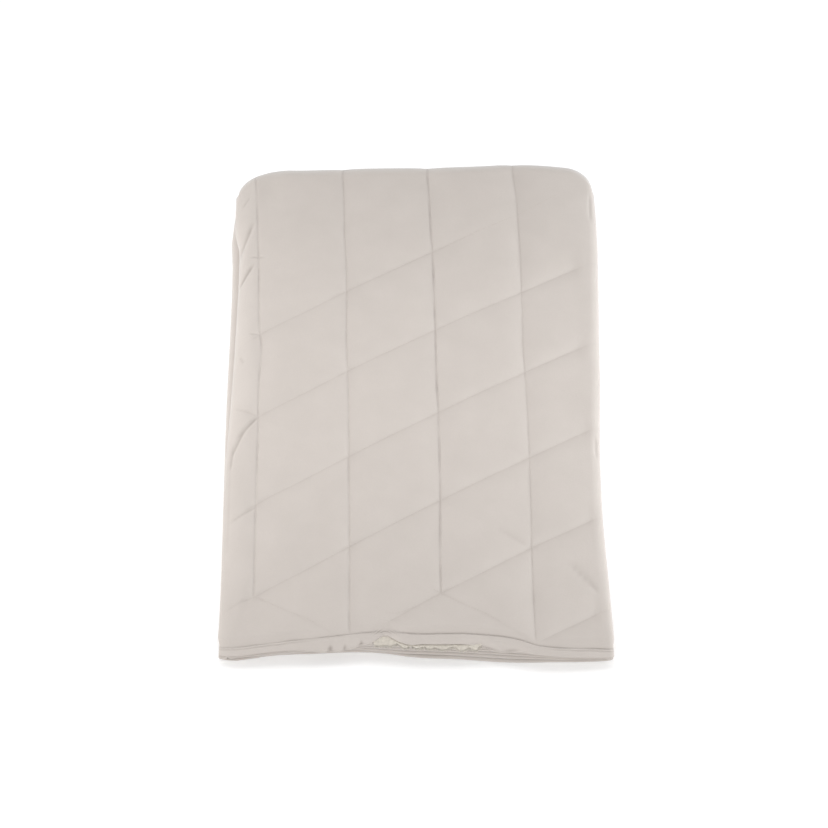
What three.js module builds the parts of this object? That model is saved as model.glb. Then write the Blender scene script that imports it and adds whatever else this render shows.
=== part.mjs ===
// A quilted bedspread with a fleece back, folded in four across and then in half, lying on its lowest layer.
// Millimetres, +X to the right, +Y to the back fold, +Z up. The origin is under the middle of the folded bedspread.
import * as THREE from "three";

const { clamp, lerp, smoothstep } = THREE.MathUtils;

// The flat bedspread and how often it is folded.
const FLAT_LENGTH = 2200;
const FLAT_WIDTH = 1800;
const LAYERS_ACROSS = 4;
const LAYERS_ALONG = 2;
const FOLD_SLACK = 12;
const FOLDED_WIDTH = FLAT_LENGTH / LAYERS_ACROSS + FOLD_SLACK;
const FOLDED_LENGTH = FLAT_WIDTH / LAYERS_ALONG;
const FRONT = -FOLDED_LENGTH / 2;

// Quilting: equilateral triangles between lines one pitch apart, sewn a little out of square to the folds.
const PITCH = 132;
const ROW = PITCH / Math.sqrt(3);
const LEAN = -0.0186;
const FIRST_LINE_X = -231;
const LEAN_PIVOT_Y = -56;
const FIRST_ROW_Y = -361;
const PUFF = 5;
const PUFF_SOFTNESS = 0.11;
const FOLD_PUFF_SHARE = 0.5;

// How the top is crowned, and how its back corners are drawn in.
const CROWN = 15;
const CORNERS = {
  left: { reach: 80, depth: 38 },
  right: { reach: 40, depth: 40 },
};
const BACK_PULL_LENGTH = 200;

// Folds: where the shoulder of the left fold begins, and how the layers nest inside each other there.
const SHOULDER_COLUMN = 0.95;
const RIGHT_FOLD = 14;
const RIGHT_FOLD_WALL = 6;
const LEFT_NEST = { outer: 0, inner: 8, middle: 18, core: 26 };
const FREE_HEM_INSET = { third: 16, fourth: 9 };

// The folds are pressed squarer at the front: the power of their sine there, and where they are round again.
const FRONT_SQUARENESS = 0.45;
const SQUARE_ZONE = { from: 10, to: 130 };

// Hem of the top layer, and how far the inner layers are tucked in at the front.
const HEM = 12;
const HEM_ROLL = 1.5;
const QUILTED_FROM = 44;
const FRONT_TUCK = 5;

// Fleece that peeks out under the top hem.
const FLEECE_CLEARANCE = 0.4;
const FLEECE_LIP = { reach: 3, lump: 1.5, pinch: 0.5 };
const FLEECE_COLUMNS = { first: 3, last: 7 };
const FLEECE_STATIONS = 5;

// The section along the length: height on the middle line, insets of both edges, overhang of the lower left fold.
const OUTLINE = [
  { from_front: 0, height: 33, left: 2, right: 0.5, overhang: 1 },
  { from_front: 92, height: 43, left: 2, right: 4.5, overhang: 2 },
  { from_front: 268, height: 58, left: -2, right: 10.5, overhang: 4 },
  { from_front: 452, height: 70, left: -4.5, right: 5, overhang: 11 },
  { from_front: 650, height: 76, left: -5, right: -1, overhang: 14 },
  { from_front: 728, height: 77.6, left: -6.5, right: -2.7, overhang: 14 },
  { from_front: 770, height: 78, left: -11.5, right: -3.2, overhang: 13 },
  { from_front: 812, height: 78, left: -8, right: -3.5, overhang: 7 },
  { from_front: 900, height: 77, left: -6, right: -1, overhang: 2 },
];

// How far the front edges of the top and the lowest layer stand back, across the width.
const FRONT_EDGE = [
  { x: -290, upper: 0, lower: 4 },
  { x: -250, upper: 0, lower: 3 },
  { x: -205, upper: 2, lower: 11 },
  { x: -160, upper: 6, lower: 15 },
  { x: -45, upper: 16, lower: 16 },
  { x: 0, upper: 13, lower: 9.5 },
  { x: 75, upper: 13, lower: 5 },
  { x: 140, upper: 8, lower: 1 },
  { x: 175, upper: -2, lower: 0 },
  { x: 290, upper: -3, lower: 5 },
];

// How far the back fold lies forward of the square, across the width: it is turned a little.
const BACK_EDGE = [
  { x: -231, forward: 0 },
  { x: -183, forward: 5 },
  { x: -112, forward: 6 },
  { x: 56, forward: 5 },
  { x: 104, forward: 1 },
  { x: 151, forward: -6 },
  { x: 281, forward: -6 },
];

// Depth of each face in one half of the stack: 0 is its outer face, 1 the middle of the stack.
// The wider gaps are where fleece lies on fleece.
const FACES = {
  first: { outside: 0, inside: 0.17 },
  second: { outside: 0.52, inside: 0.36 },
  third: { outside: 0.55, inside: 0.71 },
  fourth: { outside: 0.97, inside: 0.81 },
};

// Mesh density.
const STEPS_PER_PITCH = 4;
const LAST_LINE_COLUMN = 4.5;
const HIDDEN_STEPS = 5;
const FLEECE_FACE_STEPS = 10;
const FOLD_STEPS = { left: 8, nested: 5, small: 5, back: 8 };
const UNDER_STEPS = 5;

/** Returns a function that reads one column of a table at any place, smoothly between its rows. */
function column(table, place, name) {
  const places = table.map((row) => row[place]);
  const values = table.map((row) => row[name]);
  const curve = new THREE.CubicInterpolant(places, values, 1);
  return (at) => curve.evaluate(clamp(at, places[0], places.at(-1)))[0];
}

const middleHeight = column(OUTLINE, "from_front", "height");
const leftInset = column(OUTLINE, "from_front", "left");
const rightInset = column(OUTLINE, "from_front", "right");
const lowerOverhang = column(OUTLINE, "from_front", "overhang");
const upperSetback = column(FRONT_EDGE, "x", "upper");
const lowerSetback = column(FRONT_EDGE, "x", "lower");
const backForward = column(BACK_EDGE, "x", "forward");

/** X of a quilting line, given by its column number, at a place along the length. */
function lineX(number, y) {
  return FIRST_LINE_X + (number - 1) * PITCH + LEAN * (y - LEAN_PIVOT_Y);
}

/** Column number of the quilting at a place: the reverse of lineX. */
function lineNumber(x, y) {
  return 1 + (x - FIRST_LINE_X - LEAN * (y - LEAN_PIVOT_Y)) / PITCH;
}

/** X of the left edge. The lower half, at the end of the turn over the back fold, overhangs the upper half. */
function leftEdge(y, turn) {
  const share = 1 - turn / Math.PI;
  return -FOLDED_WIDTH / 2 + leftInset(y - FRONT) + share * lowerOverhang(y - FRONT);
}

/** X of the right edge. */
function rightEdge(y) {
  return FOLDED_WIDTH / 2 - rightInset(y - FRONT);
}

/** How square the folds are at a place along the length: 1 is round. */
function squareness(y) {
  return lerp(FRONT_SQUARENESS, 1, smoothstep(y - FRONT, SQUARE_ZONE.from, SQUARE_ZONE.to));
}

/** Height of the folded bedspread over a point of its plan. */
function heightAt(x, y) {
  const across = x / (FOLDED_WIDTH / 2);
  return middleHeight(y - FRONT) - CROWN * across * across;
}

/** How far the back fold is drawn forward at one X: its turn, and the rounding of its corners. */
function backPull(x) {
  const corner = x < 0 ? CORNERS.left : CORNERS.right;
  const into = clamp((Math.abs(x) - FOLDED_WIDTH / 2 + corner.reach) / corner.reach, 0, 1);
  return backForward(x) + corner.depth * (1 - Math.sqrt(1 - into * into));
}

/** How far the cloth puffs up above its sewn lines at a place of the quilting, given in columns and rows. */
function quiltPuff(columnNumber, rowNumber) {
  const families = [columnNumber, (rowNumber - columnNumber + 1) / 2, (rowNumber + columnNumber + 1) / 2];
  return families.reduce((puff, line) => {
    const away = Math.abs(line - Math.round(line));
    return puff * (1 - Math.exp(-away / PUFF_SOFTNESS));
  }, PUFF);
}

const BACK_AXIS_Y = -FRONT - middleHeight(FOLDED_LENGTH) / 2;

/** Y at which one layer ends at the front. The share runs from 0 on the top layer to 1 on the lowest. */
function frontEdge(x, share) {
  const setback = lerp(upperSetback(x), lowerSetback(x), share);
  return FRONT + setback + FRONT_TUCK * Math.sin(Math.PI * share);
}

/** Stations along the path of the cloth: over the top to the back, around the back fold, and forward underneath. */
function makeStations() {
  const stations = [{ y: FRONT, hem: 0 }, { y: FRONT, hem: HEM }];
  const rowStep = 1 / STEPS_PER_PITCH;
  const firstStep = Math.ceil((FRONT + QUILTED_FROM - FIRST_ROW_Y) / (ROW * rowStep));
  const lastStep = Math.floor((BACK_AXIS_Y - FIRST_ROW_Y) / (ROW * rowStep));
  for (let step = firstStep; step <= lastStep; step++) {
    stations.push({ y: FIRST_ROW_Y + step * rowStep * ROW, row: step * rowStep });
  }
  for (let step = 0; step <= FOLD_STEPS.back; step++) {
    stations.push({ y: BACK_AXIS_Y, turn: (Math.PI * step) / FOLD_STEPS.back });
  }
  for (let step = UNDER_STEPS - 1; step >= 0; step--) {
    stations.push({ y: lerp(FRONT, BACK_AXIS_Y, step / UNDER_STEPS), turn: Math.PI, hem: step ? undefined : 0 });
  }
  return stations.map((station) => ({ turn: 0, ...station }));
}

/** A straight run of section points between two X rules, without its last point. */
function run(from, to, depth, steps) {
  return Array.from({ length: steps }, (_, i) => ({
    x: (y, turn) => lerp(from(y, turn), to(y, turn), i / steps),
    depth,
    out: { x: 0, up: 0 },
  }));
}

/** The way out of the cloth round a fold. */
function roundFold(angle) {
  return { x: FOLD_PUFF_SHARE * Math.sin(angle), up: FOLD_PUFF_SHARE * Math.abs(Math.cos(angle)) };
}

/** Section points round a fold, from one face depth to the other, without the last point. */
function fold(centre, reach, fromDepth, toDepth, steps, quilted = false) {
  return Array.from({ length: steps }, (_, i) => {
    const angle = (Math.PI * i) / steps;
    return {
      x: (y, turn) => centre(y, turn) + reach(y, turn) * Math.pow(Math.sin(angle), squareness(y)),
      depth: lerp(fromDepth, toDepth, (1 - Math.cos(angle)) / 2),
      out: quilted ? roundFold(angle) : { x: 0, up: 0 },
    };
  });
}

/** The back-and-forth section of one half of the stack, as one closed loop of points. */
function makeSection() {
  const shoulder = (y) => lineX(SHOULDER_COLUMN, y);
  const rightAxis = (y) => rightEdge(y) - RIGHT_FOLD;
  const leftReach = (inset) => (y, turn) => leftEdge(y, turn) + inset - shoulder(y);
  const rightReach = (wall) => () => RIGHT_FOLD - wall;
  const thirdEnd = (y) => rightEdge(y) - FREE_HEM_INSET.third;
  const fourthEnd = (y) => rightEdge(y) - FREE_HEM_INSET.fourth;
  const { first, second, third, fourth } = FACES;

  const lines = [];
  for (let step = STEPS_PER_PITCH; step <= LAST_LINE_COLUMN * STEPS_PER_PITCH; step++) {
    const number = step / STEPS_PER_PITCH;
    lines.push({ x: (y) => lineX(number, y), depth: first.outside, out: { x: 0, up: 1 }, line: number });
  }
  const lastLine = (y) => lineX(LAST_LINE_COLUMN, y);
  const besideLines = run(lastLine, rightAxis, first.outside, 2).slice(1);
  besideLines.forEach((point) => (point.out = { x: 0, up: 1 }));

  const outside = [
    ...run(fourthEnd, shoulder, fourth.outside, HIDDEN_STEPS),
    ...fold(shoulder, leftReach(LEFT_NEST.outer), fourth.outside, first.outside, FOLD_STEPS.left, true),
    { x: shoulder, depth: first.outside, out: { x: 0, up: 1 } },
    ...lines,
    ...besideLines,
    ...fold(rightAxis, rightReach(0), first.outside, second.outside, FOLD_STEPS.small, true),
    ...run(rightAxis, shoulder, second.outside, HIDDEN_STEPS),
    ...fold(shoulder, leftReach(LEFT_NEST.core), second.outside, third.outside, FOLD_STEPS.small),
    ...run(shoulder, thirdEnd, third.outside, HIDDEN_STEPS),
    { x: thirdEnd, depth: third.outside, out: { x: 0, up: 0 } },
  ];
  const inside = [
    ...run(thirdEnd, shoulder, third.inside, HIDDEN_STEPS),
    ...fold(shoulder, leftReach(LEFT_NEST.middle), third.inside, second.inside, FOLD_STEPS.small),
    ...run(shoulder, rightAxis, second.inside, FLEECE_FACE_STEPS),
    ...fold(rightAxis, rightReach(RIGHT_FOLD_WALL), second.inside, first.inside, FOLD_STEPS.small),
    ...run(rightAxis, shoulder, first.inside, FLEECE_FACE_STEPS),
    ...fold(shoulder, leftReach(LEFT_NEST.inner), first.inside, fourth.inside, FOLD_STEPS.nested),
    ...run(shoulder, fourthEnd, fourth.inside, HIDDEN_STEPS),
    { x: fourthEnd, depth: fourth.inside, out: { x: 0, up: 0 } },
  ];
  return [...outside, ...inside];
}

/** How far the cloth stands out at one point: the quilting, and the rolled hem. Both fade over the back fold. */
function reliefAt(point, station, x) {
  const fade = 1 - smoothstep(station.turn, 0, Math.PI / 2);
  if (station.hem !== undefined) return station.hem ? 0 : fade * HEM_ROLL;
  const backRow = (station.y - FIRST_ROW_Y + (station.turn * middleHeight(FOLDED_LENGTH)) / 2) / ROW;
  return fade * quiltPuff(point.line ?? lineNumber(x, station.y), station.row ?? backRow);
}

/** Places one section point at one station. The lift raises it off its face, away from the middle of the stack. */
function place(point, station, lift = 0) {
  const { turn } = station;
  const upper = turn === 0;
  const lower = turn === Math.PI && station.y < BACK_AXIS_Y;
  let x = point.x(station.y, turn);
  const relief = reliefAt(point, station, x);
  x += relief * point.out.x * Math.sign(x);
  const raised = lift + relief * point.out.up;
  const pull = backPull(x) * smoothstep(station.y, BACK_AXIS_Y - BACK_PULL_LENGTH, BACK_AXIS_Y);
  const share = lower ? 1 - point.depth / 2 : point.depth / 2;
  const y = station.hem === undefined ? station.y - pull : frontEdge(x, share) + station.hem;
  const height = heightAt(x, y);
  if (upper) return new THREE.Vector3(x, y, height * (1 - point.depth / 2) + raised);
  if (lower) return new THREE.Vector3(x, y, (height * point.depth) / 2 - raised);
  const radius = (height / 2) * (1 - point.depth) + raised;
  return new THREE.Vector3(x, y + radius * Math.sin(turn), height / 2 + radius * Math.cos(turn));
}

/** True where a sewn line falls to the right through the square of mesh that starts at this point. */
function fallsThrough(point, station) {
  if (point.line === undefined || station.row === undefined) return false;
  const sum = (point.line + station.row + 1 / STEPS_PER_PITCH + 1) / 2;
  return Math.abs(sum - Math.round(sum)) < 1e-6;
}

/** Triangles that close a loop of points at the front, all facing forward. */
function frontCap(points, start) {
  const flat = points.map((p) => new THREE.Vector2(p.x, p.z));
  return THREE.ShapeUtils.triangulateShape(flat, []).flatMap(([a, b, c]) => {
    const turned = THREE.ShapeUtils.area([flat[a], flat[b], flat[c]]) < 0;
    return (turned ? [a, c, b] : [a, b, c]).map((i) => start + i);
  });
}

/** An indexed geometry from points and triangles. */
function meshOf(points, triangles) {
  const geometry = new THREE.BufferGeometry().setFromPoints(points);
  geometry.setIndex(triangles);
  geometry.computeVertexNormals();
  return geometry;
}

/** The quilted cover: its section carried over the top, round the back fold and forward underneath. */
function coverGeometry() {
  const section = makeSection();
  const stations = makeStations();
  const around = section.length;
  const rings = stations.map((station) => section.map((point) => place(point, station)));
  const triangles = [];
  for (let j = 0; j + 1 < stations.length; j++) {
    for (let i = 0; i < around; i++) {
      const next = (i + 1) % around;
      const [a, b, c, d] = [i, next, next + around, i + around].map((k) => k + j * around);
      if (fallsThrough(section[i], stations[j])) triangles.push(a, b, d, b, c, d);
      else triangles.push(a, b, c, a, c, d);
    }
  }
  triangles.push(...frontCap(rings[0], 0));
  triangles.push(...frontCap(rings.at(-1), (stations.length - 1) * around));
  return meshOf(rings.flat(), triangles);
}

/** The fleece that shows: a strip between the first and second layers, with a lumpy lip in front of the hem. */
function fleeceGeometry() {
  const shoulder = (y) => lineX(SHOULDER_COLUMN, y);
  const rightAxis = (y) => rightEdge(y) - RIGHT_FOLD;
  const { first, last } = FLEECE_COLUMNS;
  const stations = makeStations().slice(0, FLEECE_STATIONS);
  const facePoints = (depth) => run(shoulder, rightAxis, depth, FLEECE_FACE_STEPS).slice(first, last + 1);
  const upperFace = facePoints(FACES.first.inside);
  const lowerFace = facePoints(FACES.second.inside).reverse();
  const section = [
    ...upperFace.map((point) => ({ point, lift: -FLEECE_CLEARANCE })),
    ...lowerFace.map((point) => ({ point, lift: FLEECE_CLEARANCE })),
  ];
  const around = section.length;
  const rings = stations.map((station) => section.map(({ point, lift }) => place(point, station, lift)));
  const lip = rings[0].map((at, i) => {
    const forward = FLEECE_LIP.reach + FLEECE_LIP.lump * (i % 2);
    const closer = FLEECE_LIP.pinch * Math.sign(section[i].lift);
    return new THREE.Vector3(at.x, at.y - forward, at.z + closer);
  });
  rings.unshift(lip);
  const triangles = [];
  for (let j = 0; j + 1 < rings.length; j++) {
    for (let i = 0; i < around; i++) {
      const next = (i + 1) % around;
      const [a, b, c, d] = [i, next, next + around, i + around].map((k) => k + j * around);
      triangles.push(a, b, c, a, c, d);
    }
  }
  triangles.push(...frontCap(rings[0], 0));
  const backCap = frontCap(rings.at(-1), (rings.length - 1) * around);
  triangles.push(...backCap.reverse());
  return meshOf(rings.flat(), triangles);
}

const velvet = new THREE.MeshStandardMaterial({ color: 0xd3cbc4, roughness: 0.92, metalness: 0 });
const fleece = new THREE.MeshStandardMaterial({ color: 0xe6dfcd, roughness: 0.97, metalness: 0 });

const cover = new THREE.Mesh(coverGeometry(), velvet);
cover.name = "quilted_cover";
const lining = new THREE.Mesh(fleeceGeometry(), fleece);
lining.name = "fleece_back";

const folded = new THREE.Group();
folded.add(cover, lining);
const box = new THREE.Box3().setFromObject(folded);
const middle = box.getCenter(new THREE.Vector3());
folded.position.set(-middle.x, -middle.y, -box.min.z);

const bedspread = new THREE.Group();
bedspread.name = "folded_bedspread";
bedspread.add(folded);

export default bedspread;
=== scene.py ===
"""A quilted bedspread with a fleece back, folded in four across and then in half, on a studio floor."""

import logging
import math
from dataclasses import dataclass, fields
from enum import Enum, IntEnum
from typing import ClassVar

import bpy
import numpy as np
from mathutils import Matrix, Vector


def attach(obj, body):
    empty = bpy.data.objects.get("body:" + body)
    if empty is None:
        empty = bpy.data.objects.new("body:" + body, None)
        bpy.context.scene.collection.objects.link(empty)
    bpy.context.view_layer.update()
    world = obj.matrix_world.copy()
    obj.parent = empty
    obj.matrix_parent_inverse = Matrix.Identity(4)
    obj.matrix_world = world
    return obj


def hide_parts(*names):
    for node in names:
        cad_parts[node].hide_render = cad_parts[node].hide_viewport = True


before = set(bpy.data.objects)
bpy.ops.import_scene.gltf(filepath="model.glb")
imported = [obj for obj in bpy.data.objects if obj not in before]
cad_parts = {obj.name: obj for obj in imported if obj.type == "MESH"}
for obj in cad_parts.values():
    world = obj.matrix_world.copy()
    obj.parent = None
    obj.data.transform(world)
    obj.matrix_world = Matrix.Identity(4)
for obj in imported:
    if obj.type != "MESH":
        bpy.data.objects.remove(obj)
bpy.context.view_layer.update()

LOG = logging.getLogger("bedspread")
MM = 0.001
BODY = "root"

# A side closer to 1 or -1 than this lies on a face of the cloth, and not round a hem.
ON_FACE = 0.99

Numbers = np.ndarray | float
Pair = tuple[float, float]
Range = tuple[float, float]
Colour = tuple[float, float, float]
Place = tuple[float, float, float]
Socket = bpy.types.NodeSocket
Value = bpy.types.NodeSocket | float

WHITE: Colour = (1.0, 1.0, 1.0)


def smooth_step(value: Numbers, low: float, high: float) -> Numbers:
    """Rises smoothly from 0 at low to 1 at high."""
    share = np.clip((value - low) / (high - low), 0, 1)
    return share * share * (3 - 2 * share)


def mix(start: Numbers, finish: Numbers, share: Numbers) -> Numbers:
    """Goes from start at share 0 to finish at share 1."""
    return start + (finish - start) * share


def soft_bump(away: Numbers, width: float) -> Numbers:
    """A round bump of height 1 that falls off over a width."""
    return np.exp(-((away / width) ** 2))


def opaque(colour: Colour) -> tuple[float, float, float, float]:
    """Adds full cover to a colour, as a shader's colour needs it."""
    return (*colour, 1.0)


@dataclass(frozen=True)
class Ripple:
    """A soft, seeded unevenness: the sum of a few waves that run in all directions."""

    wavelength: float
    seed: int
    strength: float
    waves: int = 7
    pitches: Range = (0.7, 1.5)

    def __call__(self, across: np.ndarray, along: np.ndarray) -> np.ndarray:
        """Reads the unevenness.

        Args:
            across: First coordinate, in the unit of the wavelength.
            along: Second coordinate.

        Returns:
            The unevenness at each point, mostly within plus and minus the strength.
        """
        draw = np.random.default_rng(self.seed)
        total = np.zeros(np.broadcast(across, along).shape)
        for _ in range(self.waves):
            heading = draw.uniform(0, math.tau)
            pitch = self.wavelength * draw.uniform(*self.pitches)
            phase = draw.uniform(0, math.tau)
            way = across * math.cos(heading) + along * math.sin(heading)
            total += np.sin(math.tau * way / pitch + phase)
        return self.strength * (total / math.sqrt(2 * self.waves))


class SmoothColumn:
    """A smooth curve through one column of a short table."""

    def __init__(self, places: list[float], values: list[float]) -> None:
        """Keeps the points and works out the slope at each of them.

        Args:
            places: Where the values are given, in rising order.
            values: The value at each place.
        """
        self.places = np.asarray(places, float)
        self.values = np.asarray(values, float)
        chords = np.diff(self.values) / np.diff(self.places)
        self.slopes = np.concatenate([chords[:1], (chords[:-1] + chords[1:]) / 2, chords[-1:]])

    @classmethod
    def of(cls, rows: tuple, place: str, value: str) -> "SmoothColumn":
        """Takes the places and the values from two named columns of a table."""
        return cls([getattr(row, place) for row in rows], [getattr(row, value) for row in rows])

    def __call__(self, at: Numbers) -> Numbers:
        """Reads the curve.

        Args:
            at: Where it is read. Outside the table the end values hold.

        Returns:
            The value at each place.
        """
        at = np.clip(at, self.places[0], self.places[-1])
        row = np.clip(np.searchsorted(self.places, at, side="right") - 1, 0, len(self.places) - 2)
        span = self.places[row + 1] - self.places[row]
        t = (at - self.places[row]) / span
        rise = t * t * (3 - 2 * t)
        leaving = t * (1 - t) ** 2 * span * self.slopes[row]
        arriving = t * t * (t - 1) * span * self.slopes[row + 1]
        return mix(self.values[row], self.values[row + 1], rise) + leaving + arriving


@dataclass(frozen=True)
class OutlineRow:
    """One section across the folded bedspread, in millimetres: its height and the insets of its edges."""

    from_front: float
    height: float
    left: float
    right: float
    overhang: float


@dataclass(frozen=True)
class FrontRow:
    """How far the front edges of the top and the lowest layer stand back at one X, in millimetres."""

    x: float
    upper: float
    lower: float


@dataclass(frozen=True)
class BackRow:
    """How far the back fold lies forward of the square at one X, in millimetres."""

    x: float
    forward: float


@dataclass(frozen=True)
class WanderRow:
    """How far the four upright quilting lines wander from their straight courses, in millimetres."""

    from_front: float
    first: float
    second: float
    third: float
    fourth: float


@dataclass(frozen=True)
class Corner:
    """How far one back corner is rounded, in millimetres: along the back, and drawn forward."""

    reach: float
    depth: float


@dataclass(frozen=True)
class Notch:
    """A short stretch of hem that is turned under, hangs down or shows its lining, in millimetres."""

    x: float
    width: float
    depth: float


@dataclass(frozen=True)
class Crease:
    """A soft trough or ridge pressed in, in millimetres of the flat cloth.

    The place across is measured to the right from the first quilting line, the place along from the front.
    """

    across: Range
    along: Range
    width: float
    depth: float
    # How much shade is painted in the trough, for its depth.
    shade: float = 1.0


class Rail(Enum):
    """Lines along the length on which the section is hung."""

    SHOULDER = "where the left fold begins"
    LAST_COLUMN = "last column of the quilting grid"
    RIGHT_AXIS = "axis of the right fold"
    THIRD_HEM = "free hem of the third layer"
    FOURTH_HEM = "free hem of the fourth layer"


class StretchNumber(IntEnum):
    """Numbers of those stretches of the section that others refer to."""

    TOP = 2
    TOP_MARGIN = 3
    RIGHT_FOLD = 4
    SECOND_LAYER = 5


@dataclass(frozen=True)
class Stretch:
    """One stretch of the section: a run between two rails, or a fold round one rail.

    Depths are shares of half the stack: 0 is its outer face and 1 its middle. A fold also gives how far
    its velvet side and its fleece side stay inside the edge of the bundle, in millimetres, and how far they
    do at the front, where the layers are pressed together. An outer stretch has its velvet on the outside.
    """

    steps: int
    start: Rail
    finish: Rail
    velvet: Pair
    fleece: Pair
    nest: Pair | None = None
    pressed_nest: Pair | None = None
    outer: bool = False


@dataclass
class SectionPoints:
    """Points of the section: both faces of the cloth, the flat place across it, and the way out of it."""

    velvet_x: np.ndarray
    fleece_x: np.ndarray
    velvet_depth: np.ndarray
    fleece_depth: np.ndarray
    across: np.ndarray
    out_side: np.ndarray
    out_up: np.ndarray

    @classmethod
    def blank(cls, count: int) -> "SectionPoints":
        """Points that have yet to be laid."""
        return cls(*(np.zeros(count) for _ in fields(cls)))

    @property
    def outer(self) -> np.ndarray:
        """True where the velvet lies on the outside of the bundle."""
        return (self.out_up != 0) | (self.out_side != 0)


@dataclass
class Stations:
    """Places along the cloth: over the top to the back, round the back fold, and forward underneath."""

    along: np.ndarray
    turn: np.ndarray
    from_edge: np.ndarray
    rounding: np.ndarray


@dataclass
class LaidCloth:
    """Points of the cloth as laid, in metres, their flat places, and the marks that the finish reads."""

    points: np.ndarray
    flat: np.ndarray
    marks: dict[str, np.ndarray]


@dataclass(frozen=True)
class Quilting:
    """Quilting in equilateral triangles, with sizes in millimetres."""

    # The grid on the top, which leans a little and drifts to the left at the back.
    pitch: float = 132.0
    lean: float = -0.0186
    first_line_x: float = -231.0
    lean_pivot_y: float = -56.0
    first_row_y: float = -361.0
    back_drift: float = 7.0
    drift_zone: Range = (200.0, 420.0)
    # The puffed height, and how far the upright, rising and falling lines pinch it.
    puff: float = 3.6
    puff_reach: float = 17.0
    puff_ripple: Ripple = Ripple(170.0, 11, 0.25)
    pinches: tuple[float, float, float] = (1.0, 0.9, 0.3)
    # Where the lines begin and end, in rows or columns of the grid.
    odd_start: Range = (-0.12, 0.06)
    even_start: Range = (-1.1, -0.95)
    diagonal_start: Range = (-1.1, -0.9)
    diagonal_end: Range = (7.8, 8.7)
    diagonal_left_at_back: float = 0.06
    left_end: Range = (0.03, 0.13)
    right_end: Range = (4.62, 4.76)
    side_fade: float = 0.8
    last_rising: Range = (3.4, 3.6)
    falling_end: Range = (-0.05, 0.12)
    falling_share: float = 0.12
    # How clearly the lines show: each upright by its own share, the others most at the crossings.
    upright_shares: tuple[float, ...] = (0.75, 0.66, 0.95, 0.6)
    upright_limits: Range = (0.3, 1.7)
    upright_ripple: Ripple = Ripple(75.0, 12, 0.4)
    ripple_stretch: float = 3.0
    rising_ripple: Ripple = Ripple(60.0, 13, 0.35)
    between_crossings: float = 0.8
    at_crossings: float = 0.9
    crossing_reach: float = 12.0
    faint_place: Pair = (3.5, 5.7)
    faint_reach: Pair = (0.5, 2.0)
    faint_share: float = 0.45
    # How strongly shade and highlight are painted beside the lines: a darker and a lighter side, as light
    # falls across the puffs.
    upright_painted_shading: tuple[float, ...] = (0.1, 0.2, 0.085, 0.05)
    rising_painted_shading: float = 0.14
    # How far from an upright, in columns, the grid wanders with it.
    wander_reach: Range = (0.12, 0.6)
    wander_rows: ClassVar[tuple[WanderRow, ...]] = (
        WanderRow(95, -4.0, -1.2, -2.5, -2.7),
        WanderRow(150, -4.7, -0.5, -2.0, -2.6),
        WanderRow(250, -4.2, -0.6, 0.3, 0.0),
        WanderRow(360, -2.6, -0.4, 1.2, 1.2),
        WanderRow(463, -2.5, -1.5, 0.0, 0.8),
        WanderRow(520, 0.5, -2.9, 0.0, 0.0),
        WanderRow(560, -3.5, -2.9, 0.0, 1.2),
        WanderRow(612, -5.0, -2.2, 0.0, 1.6),
        WanderRow(723, -6.0, -2.9, 0.0, 4.5),
        WanderRow(823, -5.2, 0.0, 2.5, 7.0),
        WanderRow(880, -8.5, -1.4, 1.4, 4.4),
    )

    @property
    def row(self) -> float:
        """Distance between two rows of crossings."""
        return self.pitch / math.sqrt(3)

    def line_x(self, column: Numbers, y: Numbers) -> Numbers:
        """Finds a quilting line on its straight course.

        Args:
            column: Number of the line.
            y: Place along the length.

        Returns:
            X of the line at each place.
        """
        drift = self.back_drift * smooth_step(y, *self.drift_zone)
        lean = self.lean * (y - self.lean_pivot_y)
        return self.first_line_x + (column - 1) * self.pitch + lean - drift

    def wander(self, column: np.ndarray, from_front: np.ndarray) -> np.ndarray:
        """Finds how far the nearest upright line has wandered from its straight course.

        Args:
            column: Place across, in columns.
            from_front: Distance from the front.

        Returns:
            The distance, in columns.
        """
        total = np.zeros_like(from_front)
        for number, name in enumerate(("first", "second", "third", "fourth"), start=1):
            shift = SmoothColumn.of(self.wander_rows, "from_front", name)
            near = 1 - smooth_step(np.abs(column - number), *self.wander_reach)
            total = total + near * shift(from_front)
        return total / self.pitch

    @staticmethod
    def numbers(column: np.ndarray, row: np.ndarray) -> list[np.ndarray]:
        """Numbers of the upright, rising and falling lines: whole on a line, and one more on the next."""
        return [column, (row - column + 1) / 2, (row + column + 1) / 2]

    def strengths(self, column: np.ndarray, row: np.ndarray) -> list[np.ndarray]:
        """How firmly each family of lines is sewn here: odd uprights stop at the first row of crossings.

        Args:
            column: Place across, in columns.
            row: Place along, in rows of crossings.

        Returns:
            Shares for the upright, rising and falling lines.
        """
        odd = np.mod(np.round(column), 2) == 1
        upright = np.where(odd, smooth_step(row, *self.odd_start), smooth_step(row, *self.even_start))
        fade = smooth_step(row, *self.diagonal_end)
        diagonal = mix(1.0, self.diagonal_left_at_back, fade) * smooth_step(row, *self.diagonal_start)
        at_sides = np.maximum(smooth_step(1 - column, *self.left_end), smooth_step(column, *self.right_end))
        diagonal = diagonal * (1 - self.side_fade * at_sides)
        past_last = smooth_step((row - column + 1) / 2, *self.last_rising)
        falling = mix(1.0, self.falling_share, smooth_step(row, *self.falling_end))
        return [upright, diagonal * (1 - past_last), diagonal * falling]

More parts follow.
